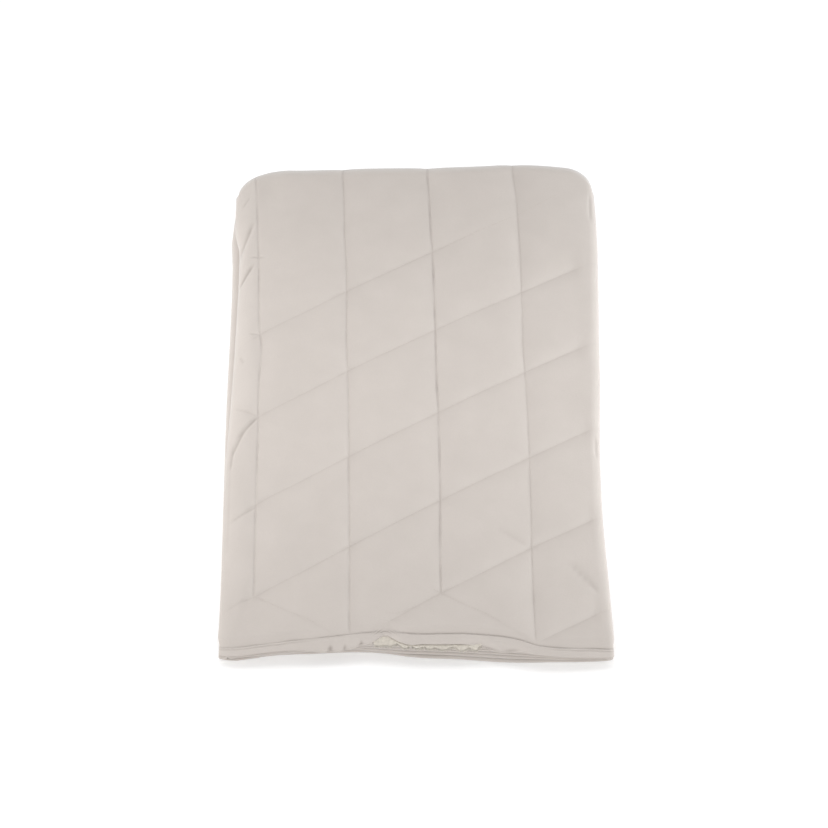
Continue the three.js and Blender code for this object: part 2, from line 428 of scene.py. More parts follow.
    def unevenness(self, column: np.ndarray, row: np.ndarray) -> list[np.ndarray]:
        """How unevenly the lines show: each upright differs, and the others are clearest at the crossings.

        Args:
            column: Place across, in columns.
            row: Place along, in rows of crossings.

        Returns:
            Factors for the upright, rising and falling lines.
        """
        across, along = column * self.pitch, row * self.row
        pulled = 1 + self.upright_ripple(self.ripple_stretch * across, along)
        upright = np.clip(self.of_nearest(self.upright_shares, column) * pulled, *self.upright_limits)
        from_upright = np.abs(column - np.round(column)) * self.pitch
        crossing = self.between_crossings + self.at_crossings * soft_bump(from_upright, self.crossing_reach)
        rising = crossing * (1 + self.rising_ripple(across, along)) * self.clearness(column, row)
        return [upright, rising, crossing]

    def painted_shadings(self, column: np.ndarray, row: np.ndarray) -> list[np.ndarray]:
        """How much shade and highlight is painted beside each family of lines.

        Args:
            column: Place across, in columns.
            row: Place along, in rows of crossings.

        Returns:
            Shares of painted shade and highlight for the upright, rising and falling lines.
        """
        upright, rising, falling = self.strengths(column, row)
        rising_shading = self.rising_painted_shading * rising * self.clearness(column, row)
        return [self.of_nearest(self.upright_painted_shading, column) * upright, rising_shading, 0 * falling]

    @staticmethod
    def of_nearest(values: tuple[float, ...], column: np.ndarray) -> np.ndarray:
        """Picks the value that belongs to the nearest upright line."""
        nearest = np.clip(np.round(column), 1, len(values)).astype(int) - 1
        return np.array(values)[nearest]

    def clearness(self, column: np.ndarray, row: np.ndarray) -> np.ndarray:
        """How clearly a rising line shows: less in one patch at the back, on the right."""
        away = (np.stack([column, row], axis=-1) - self.faint_place) / self.faint_reach
        return 1 - self.faint_share * np.exp(-(away ** 2).sum(axis=-1))

    def relief(self, column: np.ndarray, row: np.ndarray) -> np.ndarray:
        """Height of the puffed face above its sewn lines.

        Args:
            column: Place across, in columns.
            row: Place along, in rows of crossings.

        Returns:
            The height in millimetres.
        """
        height = self.puff * (1 + self.puff_ripple(column * self.pitch, row * self.row))
        numbers, strengths = self.numbers(column, row), self.strengths(column, row)
        for number, strength, pinch in zip(numbers, strengths, self.pinches):
            away = np.abs(number - np.round(number)) * self.pitch
            height = height * (1 - pinch * strength * np.exp(-away / self.puff_reach))
        return height

    def marks(self, column: np.ndarray, row: np.ndarray, shown: np.ndarray) -> dict[str, np.ndarray]:
        """Gathers what the finish reads of the lines.

        Args:
            column: Place across, in columns.
            row: Place along, in rows of crossings.
            shown: How much of the quilting shows.

        Returns:
            For each mark, its values on the upright, rising and falling lines.
        """
        strengths = np.stack(self.strengths(column, row), axis=1)
        unevenness = np.stack(self.unevenness(column, row), axis=1)
        return {
            "line_number": np.stack(self.numbers(column, row), axis=1),
            "line_firmness": strengths * unevenness * shown[:, None],
            "line_lean": np.stack(self.painted_shadings(column, row), axis=1) * shown[:, None],
        }


@dataclass(frozen=True)
class FrontHem:
    """The top layer's hem along the front, with sizes in millimetres."""

    # The rolled edge, and the ridge and the groove of its stitching.
    width: float = 12.0
    roll: float = 1.5
    roll_ripple: Ripple = Ripple(34.0, 31, 0.35)
    groove: float = 1.0
    ridge: float = 0.9
    ridge_width: float = 4.0
    ridge_softness: float = 1.3
    # The topstitching, which is weaker towards both corners, and its second line there.
    line_ripple: Ripple = Ripple(110.0, 32, 0.6)
    stitch_width: float = 1.0
    stitch_ripple: Ripple = Ripple(60.0, 33, 0.4)
    firmness: float = 0.8
    firmness_limits: Range = (0.15, 1.2)
    weaker_by: float = 0.2
    weaker_left: Range = (-150.0, -90.0)
    weaker_right: Range = (150.0, 190.0)
    second_share: float = 0.6
    second_left: Range = (-190.0, -120.0)
    second_right: Range = (175.0, 215.0)
    # How far behind the hem the quilting rises, and how the edge hangs down.
    quilted_from: Range = (1.0, 16.0)
    droop_length: float = 14.0
    droop_power: int = 3
    notches: ClassVar[tuple[Notch, ...]] = (
        Notch(-119, 5, 3.5),
        Notch(-112, 45, -7),
        Notch(-100, 4, 2),
        Notch(-77, 5, 3),
        Notch(-43, 13, 10),
        Notch(-8, 13, -3),
        Notch(40, 36, -2),
        Notch(92, 11, 2),
        Notch(118, 32, -6.5),
    )
    droops: ClassVar[tuple[Notch, ...]] = (
        Notch(-112, 45, 9),
        Notch(118, 32, 8),
    )
    peeks: ClassVar[tuple[Notch, ...]] = (
        Notch(-119, 6, 1.0),
        Notch(-100, 5, 0.8),
        Notch(-77, 6, 1.0),
        Notch(125, 25, 1.0),
    )

    @staticmethod
    def bumps(rows: tuple[Notch, ...], x: np.ndarray) -> np.ndarray:
        """Sum of the soft bumps of a table across the width."""
        return sum(row.depth * soft_bump(x - row.x, row.width) for row in rows)

    def turned_under(self, x: np.ndarray) -> np.ndarray:
        """How far the hem is turned under, where the fleece shows beside the topstitching."""
        return self.bumps(self.notches, x)

    def opened(self, x: np.ndarray) -> np.ndarray:
        """How far the layers part under the hem in a few spots."""
        return self.bumps(self.peeks, x)

    def droop(self, x: np.ndarray, from_edge: np.ndarray) -> np.ndarray:
        """How far the edge hangs down."""
        near = np.clip(1 - from_edge / self.droop_length, 0, 1) ** self.droop_power
        return near * self.bumps(self.droops, x)

    def line(self, x: np.ndarray) -> np.ndarray:
        """Distance of the topstitching from the front edge."""
        return self.width + self.line_ripple(x, 0 * x) - self.turned_under(x)

    def second_line(self, x: np.ndarray) -> np.ndarray:
        """How clearly the second line of stitching shows: only near both corners."""
        return 1 - smooth_step(x, *self.second_left) + smooth_step(x, *self.second_right)

    def stitch_firmness(self, x: np.ndarray) -> np.ndarray:
        """How firmly the topstitching is pulled: less towards both corners.

        Args:
            x: Place across.

        Returns:
            The firmness at each place.
        """
        weaker = 1 - smooth_step(x, *self.weaker_left) + smooth_step(x, *self.weaker_right)
        firm = self.firmness + self.stitch_ripple(x, 0 * x) - self.weaker_by * weaker
        return np.clip(firm, *self.firmness_limits)

    def relief(self, x: np.ndarray, from_edge: np.ndarray) -> tuple[np.ndarray, np.ndarray]:
        """Shapes the rolled hem and its line of topstitching.

        Args:
            x: Place across.
            from_edge: Distance from the front edge.

        Returns:
            The height in millimetres, and the closeness to the stitching from 0 to 1.
        """
        line = self.line(x)
        firm = self.stitch_firmness(x)
        uneven = 1 + self.roll_ripple(x, from_edge)
        roll = self.roll * np.sin(math.pi * np.clip(from_edge / line, 0, 1)) * uneven
        ridge = self.ridge * soft_bump(from_edge - line + self.ridge_width / 2, self.ridge_softness)
        stitched = firm * soft_bump(from_edge - line, self.stitch_width)
        inner = soft_bump(from_edge - line + self.ridge_width, self.stitch_width)
        second = self.second_share * self.second_line(x) * inner
        return roll + ridge * firm - self.groove * (stitched + second), np.maximum(stitched, second)


@dataclass(frozen=True)
class Creases:
    """The creases of the top and of the left fold, and the painted shade in their troughs."""

    fade_in: Range = (-0.15, 0.25)
    fade_out: Range = (0.75, 1.15)
    dark_depth: float = 1.6
    darkest: float = 1.2
    dark_sharpness: float = 1.4
    rows: ClassVar[tuple[Crease, ...]] = (
        # On the left fold.
        Crease((-18, -36), (868, 850), 3.0, 1.6),
        Crease((-13, -36), (766, 708), 3.0, 2.4),
        Crease((-15, -38), (684, 646), 3.0, 2.8, 1.4),
        Crease((-22, -36), (735, 672), 9.0, -1.6),
        Crease((-19, 3), (699, 696), 1.8, 1.1),
        Crease((-18, -2), (548, 546), 1.8, 1.0),
        Crease((-33, -26), (507, 494), 2.2, 1.3),
        Crease((-2, -31), (396, 360), 2.6, 1.9),
        Crease((-22, -42), (373, 326), 2.6, 2.0),
        Crease((-39, -43), (342, 304), 2.6, 1.7),
        Crease((-43, -44), (312, 170), 2.2, 0.5),
        Crease((-57, -61), (328, 316), 3.0, 1.5),
        Crease((-3, -37), (395, 412), 2.2, 0.8),
        Crease((-16, -28), (824, 806), 1.9, 1.3),
        # On the front hem: painted dark specks where the layers part, and a painted shadow line under the
        # hanging hem.
        Crease((102.5, 107), (7.5, 7.5), 3.0, 0.8, 4.0),
        Crease((122.5, 126.5), (8.5, 8.5), 2.5, 0.8, 3.0),
        Crease((146, 150.5), (13.4, 13.4), 2.6, 0.8, 4.0),
        Crease((306, 338), (11.5, 5), 1.8, 0.6, 3.5),
        Crease((350, 368), (4.3, 3.8), 1.8, 0.6, 3.0),
        # Along the right edge.
        Crease((520, 516), (828, 774), 1.8, 1.3),
        Crease((494, 493), (360, 322), 1.8, 1.3),
        # On the left fold, near the front.
        Crease((-4, -39), (237, 215), 2.4, 1.2),
        Crease((0, -41), (92, 68), 2.6, 0.6),
        # On the top, at the front on the right.
        Crease((346, 386), (194, 170), 5.0, 0.8, 0.7),
        Crease((450, 486), (140, 97), 5.0, 1.1, 0.8),
    )

    def relief(self, across: np.ndarray, along: np.ndarray) -> tuple[np.ndarray, np.ndarray]:
        """Presses the creases in.

        Args:
            across: Place across the flat cloth, from the first quilting line.
            along: Place along it, from the front.

        Returns:
            The height in millimetres, and the painted shade in the trough at each point, about 0 to 1.
        """
        height = np.zeros_like(along)
        trough = np.zeros_like(along)
        for crease in self.rows:
            start = np.array([crease.across[0], crease.along[0]])
            way = np.array([crease.across[1], crease.along[1]]) - start
            length = np.hypot(*way)
            t = ((across - start[0]) * way[0] + (along - start[1]) * way[1]) / length**2
            off = np.abs((across - start[0]) * way[1] - (along - start[1]) * way[0]) / length
            ends = smooth_step(t, *self.fade_in) * (1 - smooth_step(t, *self.fade_out))
            height = height - crease.depth * ends * soft_bump(off, crease.width)
            # Troughs get painted shade, darker for deeper ones.
            if crease.depth > 0:
                dark = crease.shade * min(crease.depth / self.dark_depth, self.darkest)
                near = soft_bump(self.dark_sharpness * off, crease.width)
                trough = np.maximum(trough, dark * ends * near)
        return height, trough


@dataclass(frozen=True)
class FoldPlan:
    """The folded shape: how every point of the flat bedspread is laid, with sizes in millimetres."""

    # The flat cloth, its layers, and the shift that centres the folded one.
    flat_length: float = 2200.0
    flat_width: float = 1800.0
    layers_across: int = 4
    layers_along: int = 2
    fold_slack: float = 12.0
    centring: Pair = (1.530, 0.147)
    # The crown of the top, and the corners of the back fold.
    crown: float = 15.0
    left_corner: Corner = Corner(80.0, 38.0)
    right_corner: Corner = Corner(40.0, 40.0)
    back_pull_length: float = 200.0
    # The places of the rails, and the half thickness of a hem's round edge.
    shoulder_column: float = 1.0
    last_column: float = 4 + 4 / 7
    right_fold: float = 14.0
    third_hem_inset: float = 16.0
    fourth_hem_inset: float = 9.0
    edge_radius: float = 2.0
    # The front, where the layers are pressed together except where fleece shows.
    pressed_zone: Range = (8.0, 45.0)
    fleece_zone: Range = (-62.0, 126.0)
    fleece_fade: float = 20.0
    fleece_depths: Range = (0.4, 0.6)
    top_layer: Range = (0.03, 0.16)
    front_tuck: float = 5.0
    front_wave: Ripple = Ripple(150.0, 21, 1.2)
    front_wave_shift: float = 190.0
    setback_zone: Range = (14.0, 75.0)
    # The unevenness of the stack, and how square its folds are: 1 is round and less is squarer.
    stack_wave: Ripple = Ripple(150.0, 22, 0.07)
    front_squareness: float = 0.45
    square_zone: Range = (10.0, 130.0)
    inner_squareness: float = 0.35
    lower_squareness: float = 0.45
    end_squareness: float = 0.35
    # Where the relief fades out and how soft it is, on the sides and on the back fold.
    side_share: float = 0.6
    side_zone: Range = (-0.75, -0.2)
    relief_turn: Range = (0.55 * math.pi, 0.85 * math.pi)
    soft_turn: Range = (0.0, 0.6)
    soft_fold: float = 0.5
    soft_corner: float = 0.85
    soft_corner_x: Range = (200.0, 235.0)
    soft_corner_y: Range = (320.0, 390.0)
    # How close two places are that count as one, and what is worked into the cloth.
    touch: float = 1e-6
    quilting: Quilting = Quilting()
    hem: FrontHem = FrontHem()
    creases: Creases = Creases()
    outline: ClassVar[tuple[OutlineRow, ...]] = (
        OutlineRow(0, 33, 2, 0.5, 1),
        OutlineRow(92, 43, 2, 4.5, 2),
        OutlineRow(268, 58, -2, 10.5, 4),
        OutlineRow(452, 70, -4.5, 5, 11),
        OutlineRow(650, 76, -5, -1, 14),
        OutlineRow(728, 77.6, -6.5, -2.7, 14),
        OutlineRow(770, 78, -11.5, -3.2, 13),
        OutlineRow(812, 78, -8, -3.5, 7),
        OutlineRow(900, 77, -6, -1, 2),
    )
    front_rows: ClassVar[tuple[FrontRow, ...]] = (
        FrontRow(-290, 0, 4),
        FrontRow(-250, 0, 3),
        FrontRow(-205, 2, 11),
        FrontRow(-160, 6, 15),
        FrontRow(-45, 16, 16),
        FrontRow(0, 13, 9.5),
        FrontRow(75, 13, 5),
        FrontRow(140, 8, 1),
        FrontRow(175, -2, 0),
        FrontRow(290, -3, 5),
    )
    back_rows: ClassVar[tuple[BackRow, ...]] = (
        BackRow(-231, 0),
        BackRow(-183, 5),
        BackRow(-112, 6),
        BackRow(56, 5),
        BackRow(104, 1),
        BackRow(151, -6),
        BackRow(281, -6),
    )
    section: ClassVar[tuple[Stretch, ...]] = (
        Stretch(7, Rail.FOURTH_HEM, Rail.SHOULDER, (0.97, 0.97), (0.81, 0.81)),
        Stretch(13, Rail.SHOULDER, Rail.SHOULDER, (0.97, 0), (0.81, 0.17), (0, 8), (0, 12), outer=True),
        Stretch(25, Rail.SHOULDER, Rail.LAST_COLUMN, (0, 0), (0.17, 0.17), outer=True),
        Stretch(3, Rail.LAST_COLUMN, Rail.RIGHT_AXIS, (0, 0), (0.17, 0.17), outer=True),
        Stretch(6, Rail.RIGHT_AXIS, Rail.RIGHT_AXIS, (0, 0.52), (0.17, 0.36), (0, 6), (0, 10), outer=True),
        Stretch(7, Rail.RIGHT_AXIS, Rail.SHOULDER, (0.52, 0.52), (0.36, 0.36)),
        Stretch(5, Rail.SHOULDER, Rail.SHOULDER, (0.52, 0.55), (0.36, 0.71), (26, 18), (24, 12.6)),
        Stretch(7, Rail.SHOULDER, Rail.THIRD_HEM, (0.55, 0.55), (0.71, 0.71)),
    )
    open_depths: ClassVar[tuple[float, ...]] = (0.0, 0.17, 0.36, 0.52, 0.55, 0.71, 0.81, 0.97, 1.0)
    pressed_depths: ClassVar[tuple[float, ...]] = (0.0, 0.255, 0.275, 0.53, 0.54, 0.75, 0.77, 0.995, 1.0)

    @property
    def half_width(self) -> float:
        """Half the width of the folded bedspread."""
        return (self.flat_length / self.layers_across + self.fold_slack) / 2

    @property
    def length(self) -> float:
        """Length of the folded bedspread."""
        return self.flat_width / self.layers_along

    @property
    def front(self) -> float:
        """Y of the front."""
        return -self.length / 2

    @property
    def back_axis(self) -> float:
        """Y of the axis of the back fold."""
        return -self.front - float(self.outline_column("height", self.length)) / 2

    @property
    def section_steps(self) -> int:
        """Steps of one face of the cloth, from the fourth layer's hem to the third layer's."""
        return sum(stretch.steps for stretch in self.section)

    def steps_before(self, number: StretchNumber) -> int:
        """Steps of the section before one stretch."""
        return sum(stretch.steps for stretch in self.section[:number])

    def outline_column(self, name: str, from_front: Numbers) -> Numbers:
        """Reads one column of the outline's table."""
        return SmoothColumn.of(self.outline, "from_front", name)(from_front)

    def left_edge(self, y: np.ndarray, turn: np.ndarray) -> np.ndarray:
        """Finds the left edge. The lower half, at the end of the turn, stands out past the upper half.

        Args:
            y: Place along the length.
            turn: Turn over the back fold, from 0 on top to pi underneath.

        Returns:
            X of the edge at each place.
        """
        inset = self.outline_column("left", y - self.front)
        overhang = self.outline_column("overhang", y - self.front)
        return -self.half_width + inset + (1 - turn / math.pi) * overhang

    def right_edge(self, y: np.ndarray) -> np.ndarray:
        """X of the right edge."""
        return self.half_width - self.outline_column("right", y - self.front)

    def height(self, x: Numbers, y: Numbers) -> Numbers:
        """Height of the folded bedspread over a point of its plan."""
        return self.outline_column("height", y - self.front) - self.crown * (x / self.half_width) ** 2

    def rails(self, y: np.ndarray) -> dict[Rail, np.ndarray]:
        """Finds the rails at places along the length.

        Args:
            y: Place along the length.

        Returns:
            X of each rail.
        """
        right = self.right_edge(y)
        return {
            Rail.SHOULDER: self.quilting.line_x(self.shoulder_column, y),
            Rail.LAST_COLUMN: self.quilting.line_x(self.graded(self.last_column), y),
            Rail.RIGHT_AXIS: right - self.right_fold,
            Rail.THIRD_HEM: right - self.third_hem_inset,
            Rail.FOURTH_HEM: right - self.fourth_hem_inset,
        }

    @staticmethod
    def graded(number: Numbers, closeness: float = 0.45) -> Numbers:
        """Moves grid lines closer to the whole numbers, where the seams are."""
        return number - closeness * np.sin(math.tau * number) / math.tau

    def section_at(self, step: np.ndarray, y: np.ndarray, turn: np.ndarray) -> SectionPoints:
        """Lays the section at places along the length.

        Args:
            step: Place in the section, in steps from the fourth layer's hem.
            y: Place along the length.
            turn: Turn over the back fold, from 0 on top to pi underneath.

        Returns:
            Both faces of the cloth at each place.
        """
        points = SectionPoints.blank(len(y))
        done = 0
        for stretch in self.section:
            last = stretch is self.section[-1]
            here = (step >= done) & ((step < done + stretch.steps) | last)
            lay = self.lay_run if stretch.nest is None else self.lay_fold
            lay(points, here, stretch, (step[here] - done) / stretch.steps, y[here], turn[here])
            done += stretch.steps
        return points

    def lay_run(self, points: SectionPoints, here: np.ndarray, run: Stretch, t: np.ndarray,
                y: np.ndarray, turn: np.ndarray) -> None:
        """Lays a flat run between two rails.

        Args:
            points: The points of the section, which are filled in.
            here: Which of the points lie on the run.
            run: The run.
            t: Share of the way along the run.
            y: Place along the length.
            turn: Turn over the back fold.
        """
        rails = self.rails(y)
        shoulder = rails[Rail.SHOULDER]
        x = mix(rails[run.start], rails[run.finish], t)
        if run.finish is Rail.LAST_COLUMN:
            x = self.quilting.line_x(self.graded(mix(self.shoulder_column, self.last_column, t)), y)
        points.velvet_x[here] = x
        points.fleece_x[here] = x
        points.velvet_depth[here] = run.velvet[0]
        points.fleece_depth[here] = run.fleece[0]
        points.across[here] = x - shoulder
        if run.start is Rail.FOURTH_HEM:
            points.across[here] = shoulder - x - self.nose_length(y, turn)
        points.out_up[here] = float(run.outer)

    def lay_fold(self, points: SectionPoints, here: np.ndarray, fold: Stretch, t: np.ndarray,
                 y: np.ndarray, turn: np.ndarray) -> None:
        """Lays a fold round one rail, to the edge of the bundle and back.

        Args:
            points: The points of the section, which are filled in.
            here: Which of the points lie on the fold.
            fold: The fold.
            t: Share of the way round the fold.
            y: Place along the length.
            turn: Turn over the back fold.
        """
        rails = self.rails(y)
        start = rails[fold.start]
        at_left = fold.start is Rail.SHOULDER
        edge = self.left_edge(y, turn) if at_left else self.right_edge(y)
        inward = 1 if at_left else -1
        pressed = 1 - smooth_step(y - self.front, *self.pressed_zone)
        squareness = mix(self.front_squareness, 1.0, smooth_step(y - self.front, *self.square_zone))
        squareness = np.minimum(squareness, mix(1.0, self.lower_squareness, turn / math.pi))
        if not fold.outer:
            squareness = squareness * mix(1.0, self.inner_squareness, pressed)
        angle = math.pi * t
        swing = np.sin(angle) ** squareness
        drop = (1 - np.cos(angle)) / 2
        velvet_nest, fleece_nest = (mix(*pair, pressed) for pair in zip(fold.nest, fold.pressed_nest))
        points.velvet_x[here] = start + (edge + inward * velvet_nest - start) * swing
        points.fleece_x[here] = start + (edge + inward * fleece_nest - start) * swing
        points.velvet_depth[here] = mix(*fold.velvet, drop)
        points.fleece_depth[here] = mix(*fold.fleece, drop)
        points.across[here] = start - rails[Rail.SHOULDER] + t * 2 * self.right_fold
        if fold.outer:
            points.out_side[here] = -inward * swing
            points.out_up[here] = -inward * np.cos(angle)
        if fold.outer and at_left:
            points.across[here] = -self.nose_length(y, turn) * (1 - self.arc_share(t))

    def nose_length(self, y: np.ndarray, turn: np.ndarray) -> np.ndarray:
        """Length of cloth round the left fold, as half an ellipse.

        Args:
            y: Place along the length.
            turn: Turn over the back fold.

        Returns:
            The length at each place.
        """
        wide = self.quilting.line_x(self.shoulder_column, y) - self.left_edge(y, turn)
        tall = self.height(-self.half_width, y) / 4
        return math.pi * np.sqrt((wide * wide + tall * tall) / 2)

    @staticmethod
    def arc_share(t: np.ndarray, flatness: float = 0.4, samples: int = 201) -> np.ndarray:
        """Share of the left fold's cloth that has passed.

        Args:
            t: Share of the fold's turn.
            flatness: Height of the fold for its depth.
            samples: Places at which the length is summed.

        Returns:
            The share at each place.
        """
        fine = np.linspace(0, 1, samples)
        steps = np.hypot(np.diff(np.sin(math.pi * fine)), flatness * np.diff(np.cos(math.pi * fine)))
        length = np.concatenate([[0], np.cumsum(steps)])
        return np.interp(t, fine, length / length[-1])

    def pressed(self, depth: np.ndarray, x: np.ndarray, from_edge: np.ndarray,
                lower: np.ndarray) -> np.ndarray:
        """Presses the layers together at the front, except where fleece shows.

        Args:
            depth: Depth in half the stack.
            x: Place across.
            from_edge: Distance from the front edge.
            lower: True in the lower half, where no fleece shows.

        Returns:
            The pressed depth.
        """
        closed = np.interp(depth, self.open_depths, self.pressed_depths)
        first, last = self.fleece_zone
        left = smooth_step(x, first - self.fleece_fade, first)
        right = 1 - smooth_step(x, last, last + self.fleece_fade)
        open_here = np.maximum(left * right, self.hem.opened(x))
        shown = np.where(lower, 0, open_here) * (1 - smooth_step(depth, *self.fleece_depths))
        near = 1 - smooth_step(from_edge, *self.pressed_zone)
        return mix(depth, closed, near * (1 - shown))

    def bent(self, depth: np.ndarray, x: np.ndarray, y: np.ndarray) -> np.ndarray:
        """Depth of a layer in the uneven stack: the layers inside rise and fall together."""
        return depth + self.stack_wave(x, y) * np.sin(math.pi * depth)

    def layer_depth(self, points: SectionPoints, share: np.ndarray, x: np.ndarray, stations: Stations,
                    lower: np.ndarray) -> np.ndarray:
        """Finds how deep points of the cloth lie in their half of the stack.

        Args:
            points: The section.
            share: Place between the fleece face, 0, and the velvet face, 1.
            x: Place across.
            stations: Places along the cloth.
            lower: True in the lower half.

        Returns:
            The depth of each point.
        """
        fleece = self.pressed(points.fleece_depth, points.fleece_x, stations.from_edge, lower)
        velvet = self.pressed(points.velvet_depth, points.velvet_x, stations.from_edge, lower)
        velvet = np.where(points.outer, points.velvet_depth, velvet)
        return self.bent(mix(fleece, velvet, share), x, stations.along)

    def back_pull(self, x: np.ndarray) -> np.ndarray:
        """Draws the back fold forward, by its turn and by the rounding of its corners.

        Args:
            x: Place across.

        Returns:
            The distance at each place.
        """
        turned = SmoothColumn.of(self.back_rows, "x", "forward")(x)
        pulls = []
        for corner in (self.left_corner, self.right_corner):
            into = np.clip((np.abs(x) - self.half_width + corner.reach) / corner.reach, 0, 1)
            pulls.append(corner.depth * (1 - np.sqrt(1 - into * into)))
        return turned + np.where(x < 0, *pulls)

    def setback(self, x: np.ndarray, share: np.ndarray) -> np.ndarray:
        """How far a layer stands back at the front.

        Args:
            x: Place across.
            share: Place in the stack, from 0 at the top layer to 1 at the lowest.

        Returns:
            The distance behind the front.
        """
        upper = SmoothColumn.of(self.front_rows, "x", "upper")(x)
        lower = SmoothColumn.of(self.front_rows, "x", "lower")(x)
        wave = self.front_wave(x, self.front_wave_shift * share)
        return mix(upper, lower, share) + self.front_tuck * np.sin(math.pi * share) + wave

    def on_top_layer(self, in_stack: np.ndarray) -> np.ndarray:
        """Goes from 1 on the top layer to 0 on the layers under it."""
        return 1 - smooth_step(in_stack, *self.top_layer)

    def drawn_y(self, x: np.ndarray, in_stack: np.ndarray, stations: Stations) -> np.ndarray:
        """Finds Y with the uneven back and front, before the turn over the back fold.

        Args:
            x: Place across.
            in_stack: Place in the stack, from 0 at the top to 1 at the bottom.
            stations: Places along the cloth.

        Returns:
            Y of each point.
        """
        y = stations.along
        pull = self.back_pull(x) * smooth_step(y, self.back_axis - self.back_pull_length, self.back_axis)
        near = 1 - smooth_step(stations.from_edge, *self.setback_zone)
        turned_under = self.hem.turned_under(x) * self.on_top_layer(in_stack)
        y = y - pull + near * (self.setback(x, in_stack) + turned_under)
        return y - self.edge_radius * np.sin(stations.rounding)

    def relief_share(self, points: SectionPoints, side: np.ndarray, stations: Stations,
                     lower: np.ndarray) -> np.ndarray:
        """How much of the quilting, creases and hem is raised: all of it on top and none inside.

        Args:
            points: The section.
            side: 1 on the velvet face, -1 on the fleece face.
            stations: Places along the cloth.
            lower: True in the lower half.

        Returns:
            The share at each point.
        """
        outside = (side > ON_FACE) & ~lower
        share = np.where(outside, 1 - smooth_step(stations.turn, *self.relief_turn), 0)
        share = share * np.cos(stations.rounding) * smooth_step(points.out_up, *self.side_zone)
        return np.where(points.outer, share, 0)

    def back_softness(self, x: np.ndarray, y: np.ndarray, turn: np.ndarray) -> np.ndarray:
        """How much of the quilting's height is left on the back fold and on its left corner.

        Args:
            x: Place across.
            y: Place along the length.
            turn: Turn over the back fold.

        Returns:
            The share at each point.
        """
        on_fold = smooth_step(turn, *self.soft_turn)
        on_corner = smooth_step(-x, *self.soft_corner_x) * smooth_step(y, *self.soft_corner_y)
        return (1 - self.soft_fold * on_fold) * (1 - self.soft_corner * on_corner)

    def place(self, step: np.ndarray, side: np.ndarray, bulge: np.ndarray, stations: Stations) -> LaidCloth:
        """Lays points of the cloth in the folded bedspread.

        Args:
            step: Place in the section, in steps.
            side: 1 on the velvet face, -1 on the fleece face, and between them round a hem.
            bulge: How far a free hem's round edge stands out, in millimetres.
            stations: Places along the cloth.

        Returns:
            The points, their flat places and their marks.
        """
        quilting, hem = self.quilting, self.hem
        turn, from_edge = stations.turn, stations.from_edge
        lower = (turn >= math.pi - self.touch) & (stations.along < self.back_axis - self.touch)

        # The place in the smooth stack.
        points = self.section_at(step, stations.along, turn)
        face = side * np.cos(stations.rounding) ** np.where(lower, self.end_squareness, 1.0)
        share = (1 + face) / 2
        x = mix(points.fleece_x, points.velvet_x, share) + bulge
        depth = self.layer_depth(points, share, x, stations, lower)
        in_stack = np.where(lower, 1 - depth / 2, depth / 2)
        y = self.drawn_y(x, in_stack, stations)

        # The relief of the quilting, the creases and the hem.
        unmoved = self.shoulder_column + points.across / quilting.pitch
        column = unmoved - quilting.wander(unmoved, y - self.front)
        half_turn = self.height(x, y) / 2 * np.where(lower, 0, turn)
        row = (y - quilting.first_row_y + half_turn) / quilting.row
        quilted = smooth_step(from_edge, *(hem.width + part for part in hem.quilted_from))
        puff = quilting.relief(column, row) * self.back_softness(x, y, turn)
        creases, trough = self.creases.relief((unmoved - 1) * quilting.pitch, y - self.front)
        hem_height, hem_seam = hem.relief(x, from_edge)
        fade = self.relief_share(points, side, stations, lower)
        raised = puff * quilted + creases
        x = x + self.side_share * raised * fade * points.out_side
        raised = (raised + hem_height) * fade * points.out_up

        # The height on top, over the back fold or underneath.
        height = self.height(x, y)
        radius = height / 2 * (1 - depth) + raised
        over_back = height / 2 + radius * np.cos(turn)
        on_top = height * (1 - depth / 2) + raised - hem.droop(x, from_edge) * self.on_top_layer(in_stack)
        beneath = height * depth / 2 - raised
        z = np.where(lower, beneath, np.where(turn > 0, over_back, on_top))
        y = np.where((turn > 0) & ~lower, y + radius * np.sin(turn), y)

        # Painted shade in the crease troughs, and the closeness to the hem's stitching.
        marks = {"hem_seam": hem_seam * fade, "trough": trough * fade}
        marks |= quilting.marks(column, row, fade * quilted)
        laid = np.stack([x + self.centring[0], y + self.centring[1], z], axis=1) * MM
        flat = np.stack([points.across, row * quilting.row], axis=1) * MM
        return LaidCloth(laid, flat, marks)


def deselect_all() -> None:
    """Leaves nothing selected."""
    bpy.ops.object.select_all(action="DESELECT")


def make_grid(name: str, columns: int, rows: int) -> bpy.types.Object:
    """Adds a flat grid of faces.

    Args:
        name: Name of the piece.
        columns: Faces across.
        rows: Faces along.

    Returns:
        The grid, one unit wide and long, as the active object.
    """
    deselect_all()
    bpy.ops.mesh.primitive_grid_add(x_subdivisions=columns, y_subdivisions=rows, size=1)
    piece = bpy.context.object
    piece.name = name
    piece.data.name = name
    return piece


def grid_numbers(items: bpy.types.bpy_prop_collection, name: str, columns: int,
                 rows: int) -> tuple[np.ndarray, np.ndarray]:
    """Reads where the vertices or faces of a flat grid lie.

    Args:
        items: The vertices or the faces.
        name: The property that holds their places.
        columns: Faces across.
        rows: Faces along.

    Returns:
        Their places in columns and in rows.
    """
    places = np.zeros(len(items) * 3, np.float32)
    items.foreach_get(name, places)
    places = places.reshape(-1, 3).astype(float)
    return (places[:, 0] + 0.5) * columns, (places[:, 1] + 0.5) * rows


def subdivide_faces(piece: bpy.types.Object, chosen: np.ndarray, cuts: int) -> None:
    """Cuts chosen faces of a piece finer.

    Args:
        piece: The active piece.
        chosen: True for each face that is cut.
        cuts: Cuts of each edge.
    """
    mesh = piece.data
    bpy.context.tool_settings.mesh_select_mode = (False, False, True)
    mesh.vertices.foreach_set("select", np.zeros(len(mesh.vertices), bool))
    mesh.edges.foreach_set("select", np.zeros(len(mesh.edges), bool))
    mesh.polygons.foreach_set("select", chosen)
    bpy.ops.object.mode_set(mode="EDIT")
    bpy.ops.mesh.subdivide(number_cuts=cuts)
    bpy.ops.object.mode_set(mode="OBJECT")


